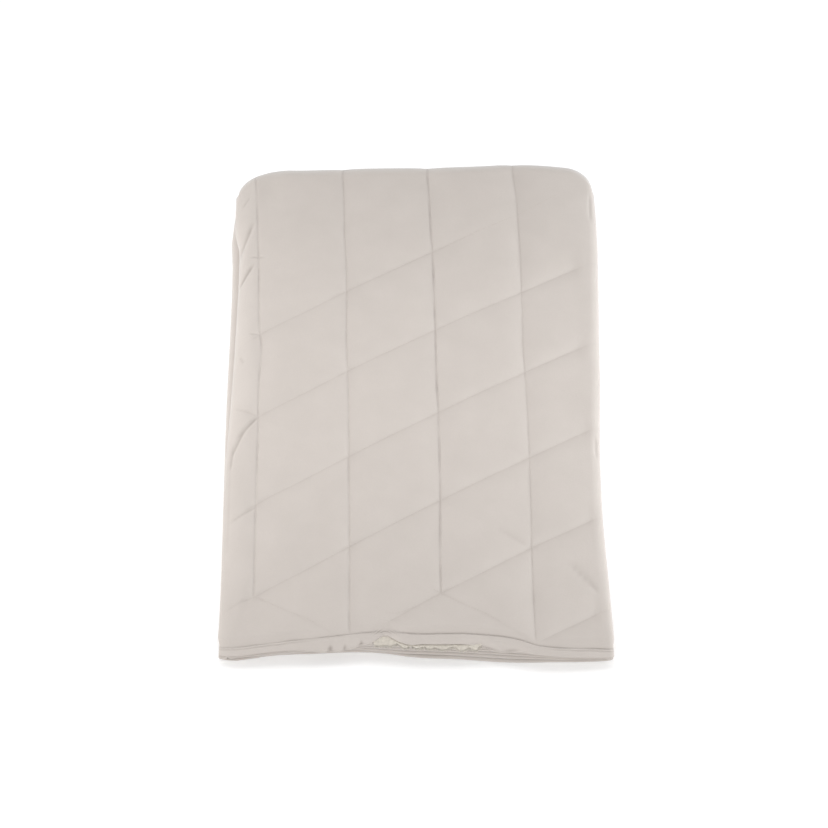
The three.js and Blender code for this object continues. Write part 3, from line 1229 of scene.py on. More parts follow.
def set_points(piece: bpy.types.Object, points: np.ndarray) -> None:
    """Moves the vertices of a piece."""
    piece.data.vertices.foreach_set("co", points.astype(np.float32).ravel())
    piece.data.update()


def close_seams(distance: float = 2e-6) -> None:
    """Merges vertices of the active piece that lie on each other, and turns all its faces outwards.

    Args:
        distance: How close two vertices lie that are merged, in metres.
    """
    bpy.ops.object.mode_set(mode="EDIT")
    bpy.ops.mesh.select_all(action="SELECT")
    bpy.ops.mesh.remove_doubles(threshold=distance)
    bpy.ops.mesh.normals_make_consistent(inside=False)
    bpy.ops.object.mode_set(mode="OBJECT")
    bpy.ops.object.shade_smooth()


def store_marks(mesh: bpy.types.Mesh, marks: dict[str, np.ndarray]) -> None:
    """Stores one or three numbers on each point of a mesh.

    Args:
        mesh: The mesh.
        marks: The numbers by their names.
    """
    for name, numbers in marks.items():
        kind, field = ("FLOAT", "value") if numbers.ndim == 1 else ("FLOAT_VECTOR", "vector")
        stored = mesh.attributes.new(name, kind, "POINT")
        stored.data.foreach_set(field, numbers.astype(np.float32).ravel())


def dress(piece: bpy.types.Object, material: bpy.types.Material) -> None:
    """Gives a piece its one material."""
    piece.data.materials.clear()
    piece.data.materials.append(material)


@dataclass(frozen=True)
class Pattern:
    """A small shape that is modelled once, one unit long and wide, and then copied."""

    points: np.ndarray
    triangles: np.ndarray

    @classmethod
    def from_active(cls) -> "Pattern":
        """Takes over the active object's mesh and removes the object.

        Returns:
            The pattern.
        """
        model = bpy.context.object
        mesh = model.data
        mesh.calc_loop_triangles()
        points = np.array([vertex.co for vertex in mesh.vertices])
        triangles = np.array([triangle.vertices for triangle in mesh.loop_triangles])
        bpy.data.objects.remove(model)
        return cls(points, triangles)

    def copies(self, name: str, laid: np.ndarray) -> bpy.types.Object:
        """Makes one piece of all copies.

        Args:
            name: Name of the piece.
            laid: The points of each copy, in metres.

        Returns:
            The piece, at the origin.
        """
        base = len(self.points) * np.arange(len(laid))[:, None, None]
        faces = (base + self.triangles).reshape(-1, 3)
        mesh = bpy.data.meshes.new(name)
        mesh.from_pydata(laid.reshape(-1, 3).tolist(), [], faces.tolist())
        mesh.update()
        piece = bpy.data.objects.new(name, mesh)
        bpy.context.scene.collection.objects.link(piece)
        return piece


@dataclass(frozen=True)
class Grain:
    """A noise in a finish: its waves in each metre and its finer octaves."""

    scale: float
    detail: float


class Shader:
    """A node material in the making, with one Principled shader."""

    def __init__(self, name: str) -> None:
        """Starts a material with its Principled shader and the piece's own coordinates.

        Args:
            name: Name of the material.
        """
        self.material = bpy.data.materials.new(name)
        self.material.use_nodes = True
        self.nodes = self.material.node_tree.nodes
        self.links = self.material.node_tree.links
        self.surface = self.nodes["Principled BSDF"]
        self.place = self.nodes.new("ShaderNodeTexCoord").outputs["Object"]

    def set(self, **values: float | tuple[float, ...]) -> None:
        """Sets constant inputs of the Principled shader, with spaces in their names as underscores."""
        for name, value in values.items():
            self.surface.inputs[name.replace("_", " ")].default_value = value

    def noise(self, grain: Grain) -> Socket:
        """Adds a noise in the piece's own coordinates.

        Args:
            grain: Scale and detail of the noise.

        Returns:
            Its value, about 0.5 on average.
        """
        node = self.nodes.new("ShaderNodeTexNoise")
        node.inputs["Scale"].default_value = grain.scale
        node.inputs["Detail"].default_value = grain.detail
        self.links.new(self.place, node.inputs["Vector"])
        return node.outputs["Fac"]

    def ranged(self, noise: Socket, low: float, high: float, usual: Range = (0.3, 0.7)) -> Socket:
        """Carries a noise to another range.

        Args:
            noise: The noise.
            low: Lowest value that it gets.
            high: Highest value that it gets.
            usual: Values of the noise that become these.

        Returns:
            The carried value.
        """
        node = self.nodes.new("ShaderNodeMapRange")
        self.links.new(noise, node.inputs["Value"])
        node.inputs["From Min"].default_value, node.inputs["From Max"].default_value = usual
        node.inputs["To Min"].default_value = low
        node.inputs["To Max"].default_value = high
        return node.outputs["Result"]

    def attribute(self, name: str, output: str = "Fac") -> Socket:
        """Reads what is stored on the piece's points.

        Args:
            name: Name of the mark.
            output: Which output of the node is read.

        Returns:
            The stored value.
        """
        node = self.nodes.new("ShaderNodeAttribute")
        node.attribute_name = name
        return node.outputs[output]

    def components(self, name: str) -> list[Socket]:
        """Reads three values stored on the piece's points.

        Args:
            name: Name of the mark.

        Returns:
            The three values.
        """
        stored = self.attribute(name, "Vector")
        parts = self.nodes.new("ShaderNodeSeparateXYZ")
        self.links.new(stored, parts.inputs[0])
        return list(parts.outputs)

    def math(self, operation: str, first: Value, second: Value = 0.0) -> Socket:
        """Adds a math node.

        Args:
            operation: What it works out.
            first: First socket or number.
            second: Second socket or number, unused where the operation takes one.

        Returns:
            The result.
        """
        node = self.nodes.new("ShaderNodeMath")
        node.operation = operation
        for socket, value in zip(node.inputs, (first, second)):
            if isinstance(value, (int, float)):
                socket.default_value = value
            else:
                self.links.new(value, socket)
        return node.outputs["Value"]

    def blend(self, first: Socket | Colour, second: Socket | Colour, share: Socket) -> Socket:
        """Mixes two colours.

        Args:
            first: Colour at share 0.
            second: Colour at share 1.
            share: Share of the second colour.

        Returns:
            The mixed colour.
        """
        node = self.nodes.new("ShaderNodeMix")
        node.data_type = "RGBA"
        self.links.new(share, node.inputs["Factor"])
        colour_inputs = [socket for socket in node.inputs if socket.type == "RGBA"]
        for socket, value in zip(colour_inputs, (first, second)):
            if isinstance(value, tuple):
                socket.default_value = opaque(value)
            else:
                self.links.new(value, socket)
        return next(socket for socket in node.outputs if socket.type == "RGBA")

    def from_line(self, number: Socket, pitch: float) -> Socket:
        """Distance from the nearest line, less than 0 on the side of the smaller numbers."""
        return self.math("MULTIPLY", self.math("SUBTRACT", number, self.math("ROUND", number)), pitch)

    def sewn_line(self, number: Socket, firmness: Socket, pitch: float, width: float) -> Socket:
        """Draws a soft line wherever a number is whole.

        Args:
            number: The line's number.
            firmness: How firmly the line is sewn.
            pitch: Distance between lines, in millimetres.
            width: Width of the line, in millimetres.

        Returns:
            The closeness to the line, from 0 to its firmness.
        """
        across = self.math("MULTIPLY", self.from_line(number, pitch), 1.0 / width)
        square = self.math("MULTIPLY", across, across)
        valley = self.math("EXPONENT", self.math("MULTIPLY", square, -1.0))
        return self.math("MULTIPLY", valley, firmness)

    def bump(self, height: Socket, strength: float, distance: float) -> None:
        """Raises a fine relief on the surface.

        Args:
            height: Height of the relief.
            strength: How strongly it shows.
            distance: Metres for a height of 1.
        """
        node = self.nodes.new("ShaderNodeBump")
        node.inputs["Strength"].default_value = strength
        node.inputs["Distance"].default_value = distance
        self.links.new(height, node.inputs["Height"])
        self.links.new(node.outputs["Normal"], self.surface.inputs["Normal"])

    def colour(self, socket: Socket) -> None:
        """Feeds the base colour."""
        self.links.new(socket, self.surface.inputs["Base Color"])


@dataclass(frozen=True)
class Velvet:
    """Short, soft pile of a pale warm stone colour, pressed and darker along the seams, partly by painted
    shade.

    The distance between the quilting lines and the sizes of the lines are in millimetres.
    """

    line_pitch: float
    pile: Colour = (0.60, 0.55, 0.512)
    pressed: Colour = (0.565, 0.517, 0.48)
    # A darker tone for pressed seams and fibre, and for painted shade in grooves, crease troughs and beside
    # the lines.
    seam_and_shade: Colour = (0.40, 0.355, 0.325)
    # A painted highlight for the lighter side beside the lines.
    painted_highlight: Colour = (0.80, 0.75, 0.71)
    nap: Grain = Grain(22.0, 3.0)
    nap_shares: Range = (0.35, 1.0)
    fibre: Grain = Grain(1500.0, 1.0)
    tuft: Grain = Grain(420.0, 2.0)
    pile_shares: Range = (0.0, 0.11)
    pile_depth: float = 0.3
    thread_pull: Grain = Grain(60.0, 2.0)
    thread_pulls: Range = (0.7, 1.3)
    seam_share: float = 0.34
    hem_share: float = 0.7
    trough_share: float = 0.5
    line_widths: tuple[float, float, float] = (1.75, 3.2, 3.2)
    line_shares: tuple[float, float, float] = (1.0, 0.3, 0.3)
    line_depth: float = 0.8
    # Painted shade and highlight beside the lines: which side is darker, how light the other side is
    # painted, and how far both reach.
    painted_shade_sides: Pair = (1.0, -1.0)
    painted_highlight_shares: Pair = (1.0, 0.55)
    painted_shading_reach: float = 10.0
    roughness: float = 0.92
    specular: float = 0.2
    sheen: float = 0.35
    sheen_roughness: float = 0.4
    sheen_tint: Colour = (0.80, 0.92, 1.0)

    def make(self) -> bpy.types.Material:
        """Makes the material.

        Returns:
            The finished material.
        """
        shader = Shader("velvet")
        nap, fibre, tuft = (shader.noise(grain) for grain in (self.nap, self.fibre, self.tuft))
        cloth = shader.blend(self.pressed, self.pile, shader.ranged(nap, *self.nap_shares))
        pile = shader.math("MULTIPLY", shader.math("ADD", fibre, tuft), 0.5)
        cloth = shader.blend(cloth, self.seam_and_shade, shader.ranged(pile, *self.pile_shares))
        # Painted shade and highlight beside the lines, as light falling across the puffs would give.
        cloth = self.paint_side_shading(shader, cloth)
        sewn = self.sewn(shader)
        # The quilting lines and the hem's stitching darken partly from pressed pile and thread and partly
        # from painted shade in their grooves; the crease troughs get painted shade.
        hem = shader.math("MULTIPLY", shader.attribute("hem_seam"), self.hem_share)
        trough = shader.math("MULTIPLY", shader.attribute("trough"), self.trough_share)
        line = shader.math("MULTIPLY", sewn, self.seam_share)
        dark = shader.math("MAXIMUM", line, shader.math("MAXIMUM", hem, trough))
        shader.colour(shader.blend(cloth, self.seam_and_shade, dark))
        hairs = shader.math("MULTIPLY", pile, self.pile_depth)
        groove = shader.math("MULTIPLY", sewn, self.line_depth)
        shader.bump(shader.math("SUBTRACT", hairs, groove), 1.0, MM)
        shader.set(Roughness=self.roughness, Sheen_Weight=self.sheen, Sheen_Roughness=self.sheen_roughness)
        shader.set(Sheen_Tint=opaque(self.sheen_tint), Specular_IOR_Level=self.specular)
        return shader.material

    def paint_side_shading(self, shader: Shader, cloth: Socket) -> Socket:
        """Paints shade and highlight beside the upright and rising lines.

        It is painted lighter to the left of an upright and above a rising line, and darker on their other
        sides.

        Args:
            shader: The material.
            cloth: Colour of the cloth.

        Returns:
            The colour with painted shade and highlight.
        """
        numbers, painted_shadings = shader.components("line_number"), shader.components("line_lean")
        # Each lean is the share of painted shade and highlight beside one family of lines.
        for number, lean, side, light in zip(numbers, painted_shadings, self.painted_shade_sides, self.painted_highlight_shares):
            away = shader.from_line(number, self.line_pitch)
            far = shader.math("MULTIPLY", shader.math("ABSOLUTE", away), -1.0 / self.painted_shading_reach)
            near = shader.math("MULTIPLY", shader.math("EXPONENT", far), lean)
            dark = shader.math("MULTIPLY", near, shader.math("MULTIPLY", shader.math("SIGN", away), side))
            bright = shader.math("MULTIPLY", dark, -light)
            cloth = shader.blend(cloth, self.seam_and_shade, shader.math("MAXIMUM", dark, 0.0))
            cloth = shader.blend(cloth, self.painted_highlight, shader.math("MAXIMUM", bright, 0.0))
        return cloth

    def sewn(self, shader: Shader) -> Socket:
        """Draws the quilting lines, with an uneven pull of the thread.

        Args:
            shader: The material.

        Returns:
            How close a point is to a line.
        """
        pull = shader.ranged(shader.noise(self.thread_pull), *self.thread_pulls)
        numbers, firmness = shader.components("line_number"), shader.components("line_firmness")
        lines = []
        for number, firm, width, share in zip(numbers, firmness, self.line_widths, self.line_shares):
            shown = shader.math("MULTIPLY", firm, share)
            lines.append(shader.sewn_line(number, shown, self.line_pitch, width))
        upright, rising, falling = lines
        nearest = shader.math("MAXIMUM", shader.math("MAXIMUM", upright, rising), falling)
        return shader.math("MULTIPLY", nearest, pull)


@dataclass(frozen=True)
class Fleece:
    """Fluffy cream fleece."""

    light: Colour = (0.71, 0.66, 0.585)
    shade: Colour = (0.58, 0.535, 0.47)
    curl: Grain = Grain(260.0, 3.0)
    fluff: Grain = Grain(1100.0, 2.0)
    fluff_strength: float = 0.6
    fluff_depth: float = 0.0012
    roughness: float = 0.97
    specular: float = 0.1
    sheen: float = 0.4

    def make(self) -> bpy.types.Material:
        """Makes the material.

        Returns:
            The finished material.
        """
        shader = Shader("fleece")
        curl, fluff = shader.noise(self.curl), shader.noise(self.fluff)
        shader.colour(shader.blend(self.shade, self.light, shader.ranged(curl, 0.0, 1.0)))
        shader.bump(shader.math("ADD", curl, fluff), self.fluff_strength, self.fluff_depth)
        shader.set(Roughness=self.roughness, Sheen_Weight=self.sheen, Specular_IOR_Level=self.specular)
        return shader.material


@dataclass(frozen=True)
class Thread:
    """Matt sewing thread, a shade darker than the velvet."""

    light: Colour = (0.56, 0.51, 0.47)
    shade: Colour = (0.47, 0.42, 0.385)
    twist: Grain = Grain(1600.0, 1.0)
    twist_strength: float = 0.3
    twist_depth: float = 0.0002
    roughness: float = 0.7
    specular: float = 0.3

    def make(self) -> bpy.types.Material:
        """Makes the material.

        Returns:
            The finished material.
        """
        shader = Shader("thread")
        twist = shader.noise(self.twist)
        shader.colour(shader.blend(self.shade, self.light, shader.ranged(twist, 0.0, 1.0)))
        shader.bump(twist, self.twist_strength, self.twist_depth)
        shader.set(Roughness=self.roughness, Specular_IOR_Level=self.specular)
        return shader.material


@dataclass(frozen=True)
class StudioWhite:
    """A white floor that glows a little, so that shadows on it stay faint."""

    colour: Colour = (0.86, 0.86, 0.86)
    roughness: float = 1.0
    specular: float = 0.0
    glow_colour: Colour = WHITE
    glow: float = 0.27

    def make(self) -> bpy.types.Material:
        """Makes the material.

        Returns:
            The finished material.
        """
        shader = Shader("studio_white")
        shader.set(Base_Color=opaque(self.colour), Roughness=self.roughness)
        shader.set(Specular_IOR_Level=self.specular)
        shader.set(Emission_Color=opaque(self.glow_colour), Emission_Strength=self.glow)
        return shader.material


class Knot(IntEnum):
    """Places along the cloth where one kind of step gives way to the next."""

    TOP_END = 0
    TOP_FRONT = 1
    GRID_START = 2
    GRID_END = 3
    TURN_START = 4
    TURN_END = 5
    UNDER_HEM = 6
    UNDER_FRONT = 7
    UNDER_END = 8


@dataclass
class QuiltedCover:
    """The velvet cover: a flat grid of cloth that is folded into the bundle, both faces and all hems."""

    plan: FoldPlan
    finish: Velvet
    name: str = "quilted_cover_cloth"
    hem_steps: int = 12
    round_steps: int = 2
    first_row: float = -4 / 7
    last_row: float = 10.0
    steps_per_row: int = 7
    axis_steps: int = 1
    turn_steps: int = 14
    fine_turn_steps: int = 12
    under_steps: int = 12
    free_hem_steps: int = 4
    fine_cuts: int = 3
    fine_from_step: int = 11
    fine_fold_steps: int = 3
    fine_fleece_rows: int = 8
    column_samples: int = 2000

    @property
    def loop_steps(self) -> int:
        """Steps once round the closed section."""
        return 2 * (self.plan.section_steps + self.free_hem_steps)

    @property
    def row_steps(self) -> int:
        """Steps over the rows of the quilting."""
        return round((self.last_row - self.first_row) * self.steps_per_row)

    def knots(self) -> np.ndarray:
        """Counts the steps along the cloth before each knot.

        Returns:
            The steps, in the order of the knots.
        """
        counts = (self.round_steps, self.hem_steps, self.row_steps, self.axis_steps)
        counts += (self.turn_steps, self.under_steps, self.hem_steps, self.round_steps)
        return np.concatenate([[0], np.cumsum(counts)])

    def stations(self, number: np.ndarray) -> Stations:
        """Lays stations along the cloth.

        Args:
            number: Place along the cloth, in steps from the top layer's front edge.

        Returns:
            Where each station lies.
        """
        plan, quilting = self.plan, self.plan.quilting
        knots = self.knots()
        grid_start = quilting.first_row_y + plan.graded(self.first_row) * quilting.row
        grid_end = quilting.first_row_y + self.last_row * quilting.row
        turned = (plan.back_axis, plan.back_axis, grid_start, plan.front)
        runs = knots[Knot.TOP_FRONT:Knot.UNDER_END]
        along = np.interp(number, runs, (plan.front, grid_start, grid_end, *turned))
        row = self.first_row + (number - knots[Knot.GRID_START]) / self.steps_per_row
        on_rows = quilting.first_row_y + plan.graded(row) * quilting.row
        in_grid = (number > knots[Knot.GRID_START]) & (number < knots[Knot.GRID_END])
        along = np.where(in_grid, on_rows, along)
        turn = math.pi * np.clip((number - knots[Knot.TURN_START]) / self.turn_steps, 0, 1)
        ends = knots[[Knot.TOP_END, Knot.TOP_FRONT, Knot.UNDER_FRONT, Knot.UNDER_END]]
        rounding = np.interp(number, ends, (math.pi / 2, 0, 0, math.pi / 2))
        return Stations(along, turn, np.maximum(along - plan.front, 0), rounding)

    def loop(self, number: np.ndarray) -> tuple[np.ndarray, np.ndarray, np.ndarray]:
        """Goes once round the closed section: velvet face, free hem, fleece face, other free hem.

        Args:
            number: Place round the loop, in steps.

        Returns:
            The step in the section, the side, and how far a free hem bulges.
        """
        steps, hem = self.plan.section_steps, self.free_hem_steps
        knots = np.cumsum([0, steps, hem, steps, hem])
        step = np.interp(number, knots, [0, steps, steps, 0, 0])
        angle = np.interp(number, knots, [0, 0, math.pi, math.pi, math.tau])
        bulge = self.plan.edge_radius * np.abs(np.sin(angle))
        return step, np.cos(angle), bulge

    def build(self) -> bpy.types.Object:
        """Folds the cloth.

        Returns:
            The dressed piece.
        """
        columns, rows = self.loop_steps, int(self.knots()[Knot.UNDER_END])
        piece = make_grid(self.name, columns, rows)
        subdivide_faces(piece, self.fine_faces(piece, columns, rows), self.fine_cuts)
        around, along = grid_numbers(piece.data.vertices, "co", columns, rows)
        step, side, bulge = self.loop(around)
        laid = self.plan.place(step, side, bulge, self.stations(along))
        set_points(piece, laid.points)
        store_marks(piece.data, laid.marks)
        self.unwrap(piece.data, laid.flat)
        close_seams()
        dress(piece, self.finish.make())
        return piece

    def fine_faces(self, piece: bpy.types.Object, columns: int, rows: int) -> np.ndarray:
        """Chooses the faces that show: the top, the left fold, and both faces of the front hem.

        Args:
            piece: The flat grid.
            columns: Faces round the section.
            rows: Faces along.

        Returns:
            True for each face that is cut finer.
        """
        around, along = grid_numbers(piece.data.polygons, "center", columns, rows)
        step, side, _ = self.loop(around)
        last_step = self.plan.steps_before(StretchNumber.RIGHT_FOLD) + self.fine_fold_steps
        shown = (step > self.fine_from_step) & (step < last_step)
        velvet = (side > ON_FACE) & (along < self.knots()[Knot.TURN_START] + self.fine_turn_steps)
        fleece = (side < -ON_FACE) & (along < self.fine_fleece_rows)
        return shown & (velvet | fleece)

    @staticmethod
    def unwrap(mesh: bpy.types.Mesh, flat: np.ndarray) -> None:
        """Gives the cloth its flat places as a UV map.

        Args:
            mesh: The cloth.
            flat: Flat place of each point, in metres.
        """
        layer = mesh.uv_layers[0] if mesh.uv_layers else mesh.uv_layers.new(name="flat")
        corners = np.zeros(len(mesh.loops), np.int32)
        mesh.loops.foreach_get("vertex_index", corners)
        layer.data.foreach_set("uv", flat[corners].astype(np.float32).ravel())

    def top_point(self, column: np.ndarray, along: np.ndarray) -> np.ndarray:
        """Finds points of the top face, for what is sewn on it.

        Args:
            column: Place across, in columns of the quilting.
            along: Y in millimetres.

        Returns:
            Points in metres.
        """
        plan = self.plan
        columns = np.linspace(plan.shoulder_column, plan.last_column, self.column_samples)
        ends = [plan.steps_before(number) for number in (StretchNumber.TOP, StretchNumber.TOP_MARGIN)]
        steps = np.interp(column, plan.graded(columns), np.linspace(*ends, self.column_samples))
        zero = np.zeros_like(along)
        return plan.place(steps, zero + 1, zero, Stations(along, zero, along - plan.front, zero)).points


@dataclass
class QuiltingThread:
    """Stitches along the quilting lines, each a short thread that dips at both ends, in millimetres."""

    cover: QuiltedCover
    finish: Thread
    name: str = "quilting_thread"
    stitch: float = 3.4
    gap: float = 0.9
    width: float = 0.45
    lift: float = 0.1
    rows: Range = (-1.0, 10.0)
    row_samples: int = 1600
    even_start: float = -0.55
    diagonals: tuple[int, ...] = (-5, -3, -1, 1, 3, 5)
    falling_end: float = 0.1
    side_margin: float = 0.02
    hem_margin: float = 30.0
    least_points: int = 3

    def lines(self) -> list[tuple[np.ndarray, np.ndarray]]:
        """Lists the quilting lines that are sewn.

        Returns:
            Columns and rows along each line.
        """
        rows = np.linspace(*self.rows, self.row_samples)
        near_front = rows[rows < self.falling_end]
        lines = []
        for column in range(1, len(self.cover.plan.quilting.upright_shares) + 1):
            kept = rows[rows >= (0 if column % 2 else self.even_start)]
            lines.append((np.full_like(kept, column), kept))
        for offset in self.diagonals:
            lines.append((rows - offset, rows))
            lines.append((offset - near_front, near_front))
        return lines

    def paths(self) -> list[np.ndarray]:
        """Lays the lines on the top, as far as they lie on it.

        Returns:
            Points of each line, in metres.
        """
        plan, quilting = self.cover.plan, self.cover.plan.quilting
        first, last = plan.shoulder_column + self.side_margin, plan.last_column - self.side_margin
        front = plan.hem.width + self.hem_margin
        paths = []
        for column, row in self.lines():
            y = quilting.first_row_y + row * quilting.row
            kept = (column > first) & (column < last) & (y - plan.front > front) & (y < plan.back_axis)
            if np.count_nonzero(kept) >= self.least_points:
                column, y = column[kept], y[kept]
                paths.append(self.cover.top_point(column + quilting.wander(column, y - plan.front), y))
        return paths

    @staticmethod
    def stitch_pattern() -> Pattern:
        """Models one stitch: a spindle of four sides.

        Returns:
            The stitch.
        """
        deselect_all()
        bpy.ops.mesh.primitive_uv_sphere_add(segments=4, ring_count=2, radius=0.5)
        return Pattern.from_active()

    def sew(self, pattern: Pattern, line: np.ndarray) -> np.ndarray:
        """Sets stitches along one line.

        Args:
            pattern: The stitch.
            line: Points of the line, in metres.

        Returns:
            The points of each stitch.
        """
        travelled = np.concatenate([[0], np.cumsum(np.linalg.norm(np.diff(line, axis=0), axis=1))])
        step = (self.stitch + self.gap) * MM
        starts = np.arange(0, travelled[-1] - step, step)
        first, last = (
            np.stack([np.interp(place, travelled, axis) for axis in line.T], axis=1)[:, None]
            for place in (starts, starts + self.stitch * MM)
        )
        way = last - first
        way /= np.linalg.norm(way, axis=2, keepdims=True)
        up = np.array([0.0, 0.0, 1.0])
        sideways, rise, along = (pattern.points[:, i, None] for i in range(3))
        arch = (1 - 2 * np.abs(along)) * self.lift
        raised = (rise * self.width + arch) * MM * up
        return mix(first, last, along + 0.5) + sideways * self.width * MM * np.cross(way, up) + raised

    def build(self) -> bpy.types.Object:
        """Sews all lines.

        Returns:
            The dressed piece.
        """
        pattern = self.stitch_pattern()
        stitches = [self.sew(pattern, line) for line in self.paths()]
        piece = pattern.copies(self.name, np.concatenate(stitches))
        dress(piece, self.finish.make())
        return piece


class FleeceFace(IntEnum):
    """Faces of the fleece strip."""

    UNDER_TOP_LAYER = 0
    ON_SECOND_LAYER = 1


@dataclass
class FleeceBack:
    """The fleece that shows under the top hem: a strip with short locks along its front, in millimetres."""

    cover: QuiltedCover
    finish: Fleece
    name: str = "fleece_back_strip"
    # The strip between the two top layers, and its two uneven lips at the front.
    shares: Range = (0.335, 0.7)
    clearance: float = 0.3
    reach_in: float = 70.0
    lips: Pair = (4.0, 5.5)
    lip_length: float = 12.0
    lip_ripples: tuple[Ripple, ...] = (Ripple(14.0, 41, 0.5), Ripple(37.0, 42, 0.5))
    recess: float = 9.0
    recess_zone: Range = (84.0, 98.0)
    recess_length: float = 20.0
    columns: int = 120
    rows: int = 24
    row_closeness: float = 1.6
    nose: float = 1.5
    # The locks: their number, their size, and the ranges in which they differ.
    locks: int = 900
    lock_seed: int = 51
    lock_length: float = 5.5
    lock_width: float = 1.1
    lock_root: float = 1.0
    lock_tip: float = 0.4
    lock_cuts: tuple[float, ...] = (-0.25, 0.0, 0.25)
    lock_places: Range = (0.01, 0.99)
    lock_heights: Range = (0.05, 0.95)
    lock_lowness: float = 0.6
    lock_lengths: Range = (0.5, 1.1)
    lock_slant: float = 0.45
    lock_droops: Range = (0.3, 1.0)
    lock_curl: float = 0.35
    lock_hang: float = 0.8

    def build(self) -> bpy.types.Object:
        """Lays the strip and sets its locks.

        Returns:
            The dressed piece.
        """
        pattern = self.lock_pattern()
        locks = pattern.copies("fleece_locks", self.lay_locks(pattern))
        loop = 2 * (self.rows + 1)
        piece = make_grid(self.name, self.columns, loop)
        across, around = grid_numbers(piece.data.vertices, "co", self.columns, loop)
        set_points(piece, self.lay_strip(np.round(across), np.round(around - loop / 2)))
        close_seams()
        locks.select_set(True)
        bpy.ops.object.join()
        bpy.ops.object.shade_smooth()
        dress(piece, self.finish.make())
        return piece

    def face(self, which: FleeceFace, share: np.ndarray, inward: np.ndarray) -> np.ndarray:
        """Finds points of one face of the strip.

        Args:
            which: The face.
            share: Place across, as a share of the way from the first quilting line to the right fold.
            inward: Distance behind the front edge, in millimetres.

        Returns:
            Points in metres.
        """
        plan = self.cover.plan
        along = plan.front + inward
        rails = plan.rails(along)
        x = mix(rails[Rail.SHOULDER], rails[Rail.RIGHT_AXIS], share)
        layer = (StretchNumber.TOP, StretchNumber.SECOND_LAYER)[which]
        depth = np.full_like(x, plan.section[layer].fleece[0])
        in_stack = plan.bent(depth, x, along) / 2
        near = 1 - smooth_step(inward, *plan.setback_zone)
        y = along + near * plan.setback(x, in_stack) - plan.edge_radius
        uneven = sum((ripple(x, x * 0) for ripple in self.lip_ripples), 1.0)
        y -= self.lips[which] * (1 - smooth_step(inward, 0, self.lip_length)) * uneven
        at_front = 1 - smooth_step(inward, 0, self.recess_length)
        y += self.recess * smooth_step(x, *self.recess_zone) * at_front
        lift = self.clearance if which is FleeceFace.ON_SECOND_LAYER else -self.clearance
        z = plan.height(x, y) * (1 - in_stack) + lift
        return np.stack([x + plan.centring[0], y + plan.centring[1], z], axis=1) * MM

    def between(self, share: np.ndarray, inward: np.ndarray, lowness: np.ndarray) -> np.ndarray:
        """Points between the strip's upper face, at lowness 0, and its lower face, at lowness 1."""
        upper, lower = (self.face(which, share, inward) for which in FleeceFace)
        return mix(upper, lower, lowness)

    def lay_strip(self, column: np.ndarray, around: np.ndarray) -> np.ndarray:
        """Lays the strip: its two faces meet at its round front, at the back and at both ends.

        Args:
            column: Place across, in columns.
            around: Place round the section, in rows from the front: below 0 on the upper face.

        Returns:
            Points in metres.
        """
        share = mix(*self.shares, column / self.columns)
        inward = (np.maximum(np.abs(around) - 1, 0) / self.rows) ** self.row_closeness * self.reach_in
        parted = (np.abs(around) <= self.rows) & (column > 0) & (column < self.columns)
        lowness = (1 + np.sign(around) * parted) / 2
        points = self.between(share, inward, lowness[:, None])
        points[:, 1] -= self.nose * MM * (around == 0)
        return points

    def lock_pattern(self) -> Pattern:
        """Models one lock: a slim cone of three sides, cut across so that it can curl.

        Returns:
            The lock.
        """
        deselect_all()
        bpy.ops.mesh.primitive_cone_add(vertices=3, radius1=0.5, radius2=0.5 * self.lock_tip, depth=1)
        bpy.ops.object.mode_set(mode="EDIT")
        for height in self.lock_cuts:
            bpy.ops.mesh.select_all(action="SELECT")
            bpy.ops.mesh.bisect(plane_co=(0, 0, height), plane_no=(0, 0, 1))
        bpy.ops.object.mode_set(mode="OBJECT")
        return Pattern.from_active()

    def lay_locks(self, pattern: Pattern) -> np.ndarray:
        """Sets short curled locks that stand out of the strip's front and hang down.

        Args:
            pattern: The lock.

        Returns:
            The points of each lock.
        """
        draw = np.random.default_rng(self.lock_seed)
        each = (self.locks, 1)
        share = mix(*self.shares, draw.uniform(*self.lock_places, self.locks))
        lowness = draw.uniform(*self.lock_heights, each) ** self.lock_lowness
        length = self.lock_length * draw.uniform(*self.lock_lengths, each)
        slant = draw.normal(0, self.lock_slant, each)
        droop = draw.uniform(*self.lock_droops, each)
        wide, tall, t = pattern.points.T
        t = t + 0.5
        sideways = length * t * slant + self.lock_width * wide
        forward = length * t * (1 - self.lock_curl * t * droop) - self.lock_root
        down = length * t * t * self.lock_hang * droop - self.lock_width * tall
        root = self.between(share, 0 * share, lowness)
        return root[:, None] + np.stack([sideways, -forward, -down], axis=2) * MM


@dataclass(frozen=True)
class Softbox:
    """A flat lamp that faces the bedspread, in metres and watts."""

    name: str
    place: Place
    size: Pair
    power: float
    colour: Colour = WHITE


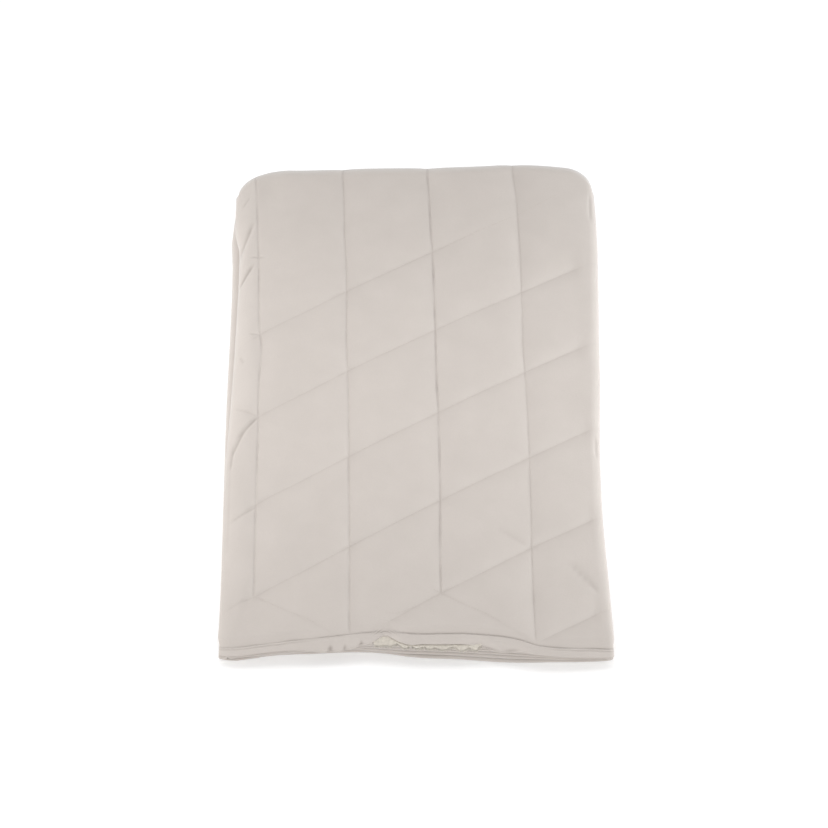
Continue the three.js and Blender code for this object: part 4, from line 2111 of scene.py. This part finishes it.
@dataclass
class Studio:
    """The white floor, the soft light and the camera, in metres and degrees."""

    finish: StudioWhite
    floor_size: float = 12.0
    floor_drop: float = 0.0005
    ambient: float = 0.6
    aim: Place = (-0.0006, -0.0425, 0.045)
    elevation: float = 52.7
    distance: float = 4.0
    lens: float = 116.4
    sensor: float = 36.0
    lamps: tuple[Softbox, ...] = (
        Softbox("overhead_strip", (0.0, -0.05, 0.85), (2.0, 0.4), 5.0),
        Softbox("front_strip", (0.0, -1.8, 0.35), (2.0, 0.5), 7.4),
        Softbox("left_grazing", (-1.6, 0.0, 0.3), (1.2, 0.4), 9.5, (1.0, 0.99, 0.97)),
        Softbox("right_grazing", (1.6, 0.0, 0.12), (1.2, 0.2), 14.5, (0.94, 0.98, 1.0)),
        Softbox("back_low", (0.0, 2.0, 0.4), (1.2, 0.4), 7.0),
    )

    def build(self) -> None:
        """Sets the floor, the lamps, the surroundings and the camera."""
        self.lay_floor()
        for lamp in self.lamps:
            self.add_lamp(lamp)
        self.surround()
        self.add_camera()
        bpy.context.scene.view_settings.view_transform = "Standard"
        bpy.context.scene.view_settings.look = "None"

    def lay_floor(self) -> None:
        """Lays the floor just under the bedspread."""
        deselect_all()
        bpy.ops.mesh.primitive_plane_add(size=self.floor_size, location=(0, 0, -self.floor_drop))
        floor = bpy.context.object
        floor.name = "studio_floor"
        dress(floor, self.finish.make())

    @staticmethod
    def add_lamp(lamp: Softbox) -> None:
        """Adds one lamp, turned to the bedspread.

        Args:
            lamp: The lamp.
        """
        light = bpy.data.lights.new(lamp.name, "AREA")
        light.shape = "RECTANGLE"
        light.size, light.size_y = lamp.size
        light.energy = lamp.power
        light.color = lamp.colour
        holder = bpy.data.objects.new(lamp.name, light)
        holder.location = lamp.place
        holder.rotation_euler = (-Vector(lamp.place)).to_track_quat("-Z", "Y").to_euler()
        bpy.context.scene.collection.objects.link(holder)

    def surround(self) -> None:
        """Makes the surroundings evenly white."""
        world = bpy.data.worlds.new("studio")
        world.use_nodes = True
        background = world.node_tree.nodes["Background"]
        background.inputs["Color"].default_value = opaque(WHITE)
        background.inputs["Strength"].default_value = self.ambient
        bpy.context.scene.world = world

    def add_camera(self) -> None:
        """Sets the camera at the photograph's viewing angle."""
        camera = bpy.data.cameras.new("camera")
        camera.lens = self.lens
        camera.sensor_width = self.sensor
        holder = bpy.data.objects.new("camera", camera)
        rise = math.radians(self.elevation)
        back = Vector((0, -math.cos(rise), math.sin(rise)))
        holder.location = Vector(self.aim) + back * self.distance
        holder.rotation_euler = (-back).to_track_quat("-Z", "Y").to_euler()
        bpy.context.scene.collection.objects.link(holder)
        bpy.context.scene.camera = holder


def log_piece(piece: bpy.types.Object) -> None:
    """Logs the size of one piece.

    Args:
        piece: The piece.
    """
    mesh = piece.data
    mesh.calc_loop_triangles()
    LOG.info("%s: %d points, %d triangles", piece.name, len(mesh.vertices), len(mesh.loop_triangles))


def main() -> None:
    """Builds the bedspread and its studio."""
    logging.basicConfig(level=logging.INFO, format="%(message)s")
    Studio(StudioWhite()).build()
    plan = FoldPlan()
    cover = QuiltedCover(plan, Velvet(plan.quilting.pitch))
    cloth = cover.build()
    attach(cloth, BODY)
    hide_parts("quilted_cover")
    thread = QuiltingThread(cover, Thread()).build()
    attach(thread, BODY)
    strip = FleeceBack(cover, Fleece()).build()
    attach(strip, BODY)
    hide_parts("fleece_back")
    for piece in (cloth, thread, strip):
        log_piece(piece)


if __name__ == "__main__":
    main()
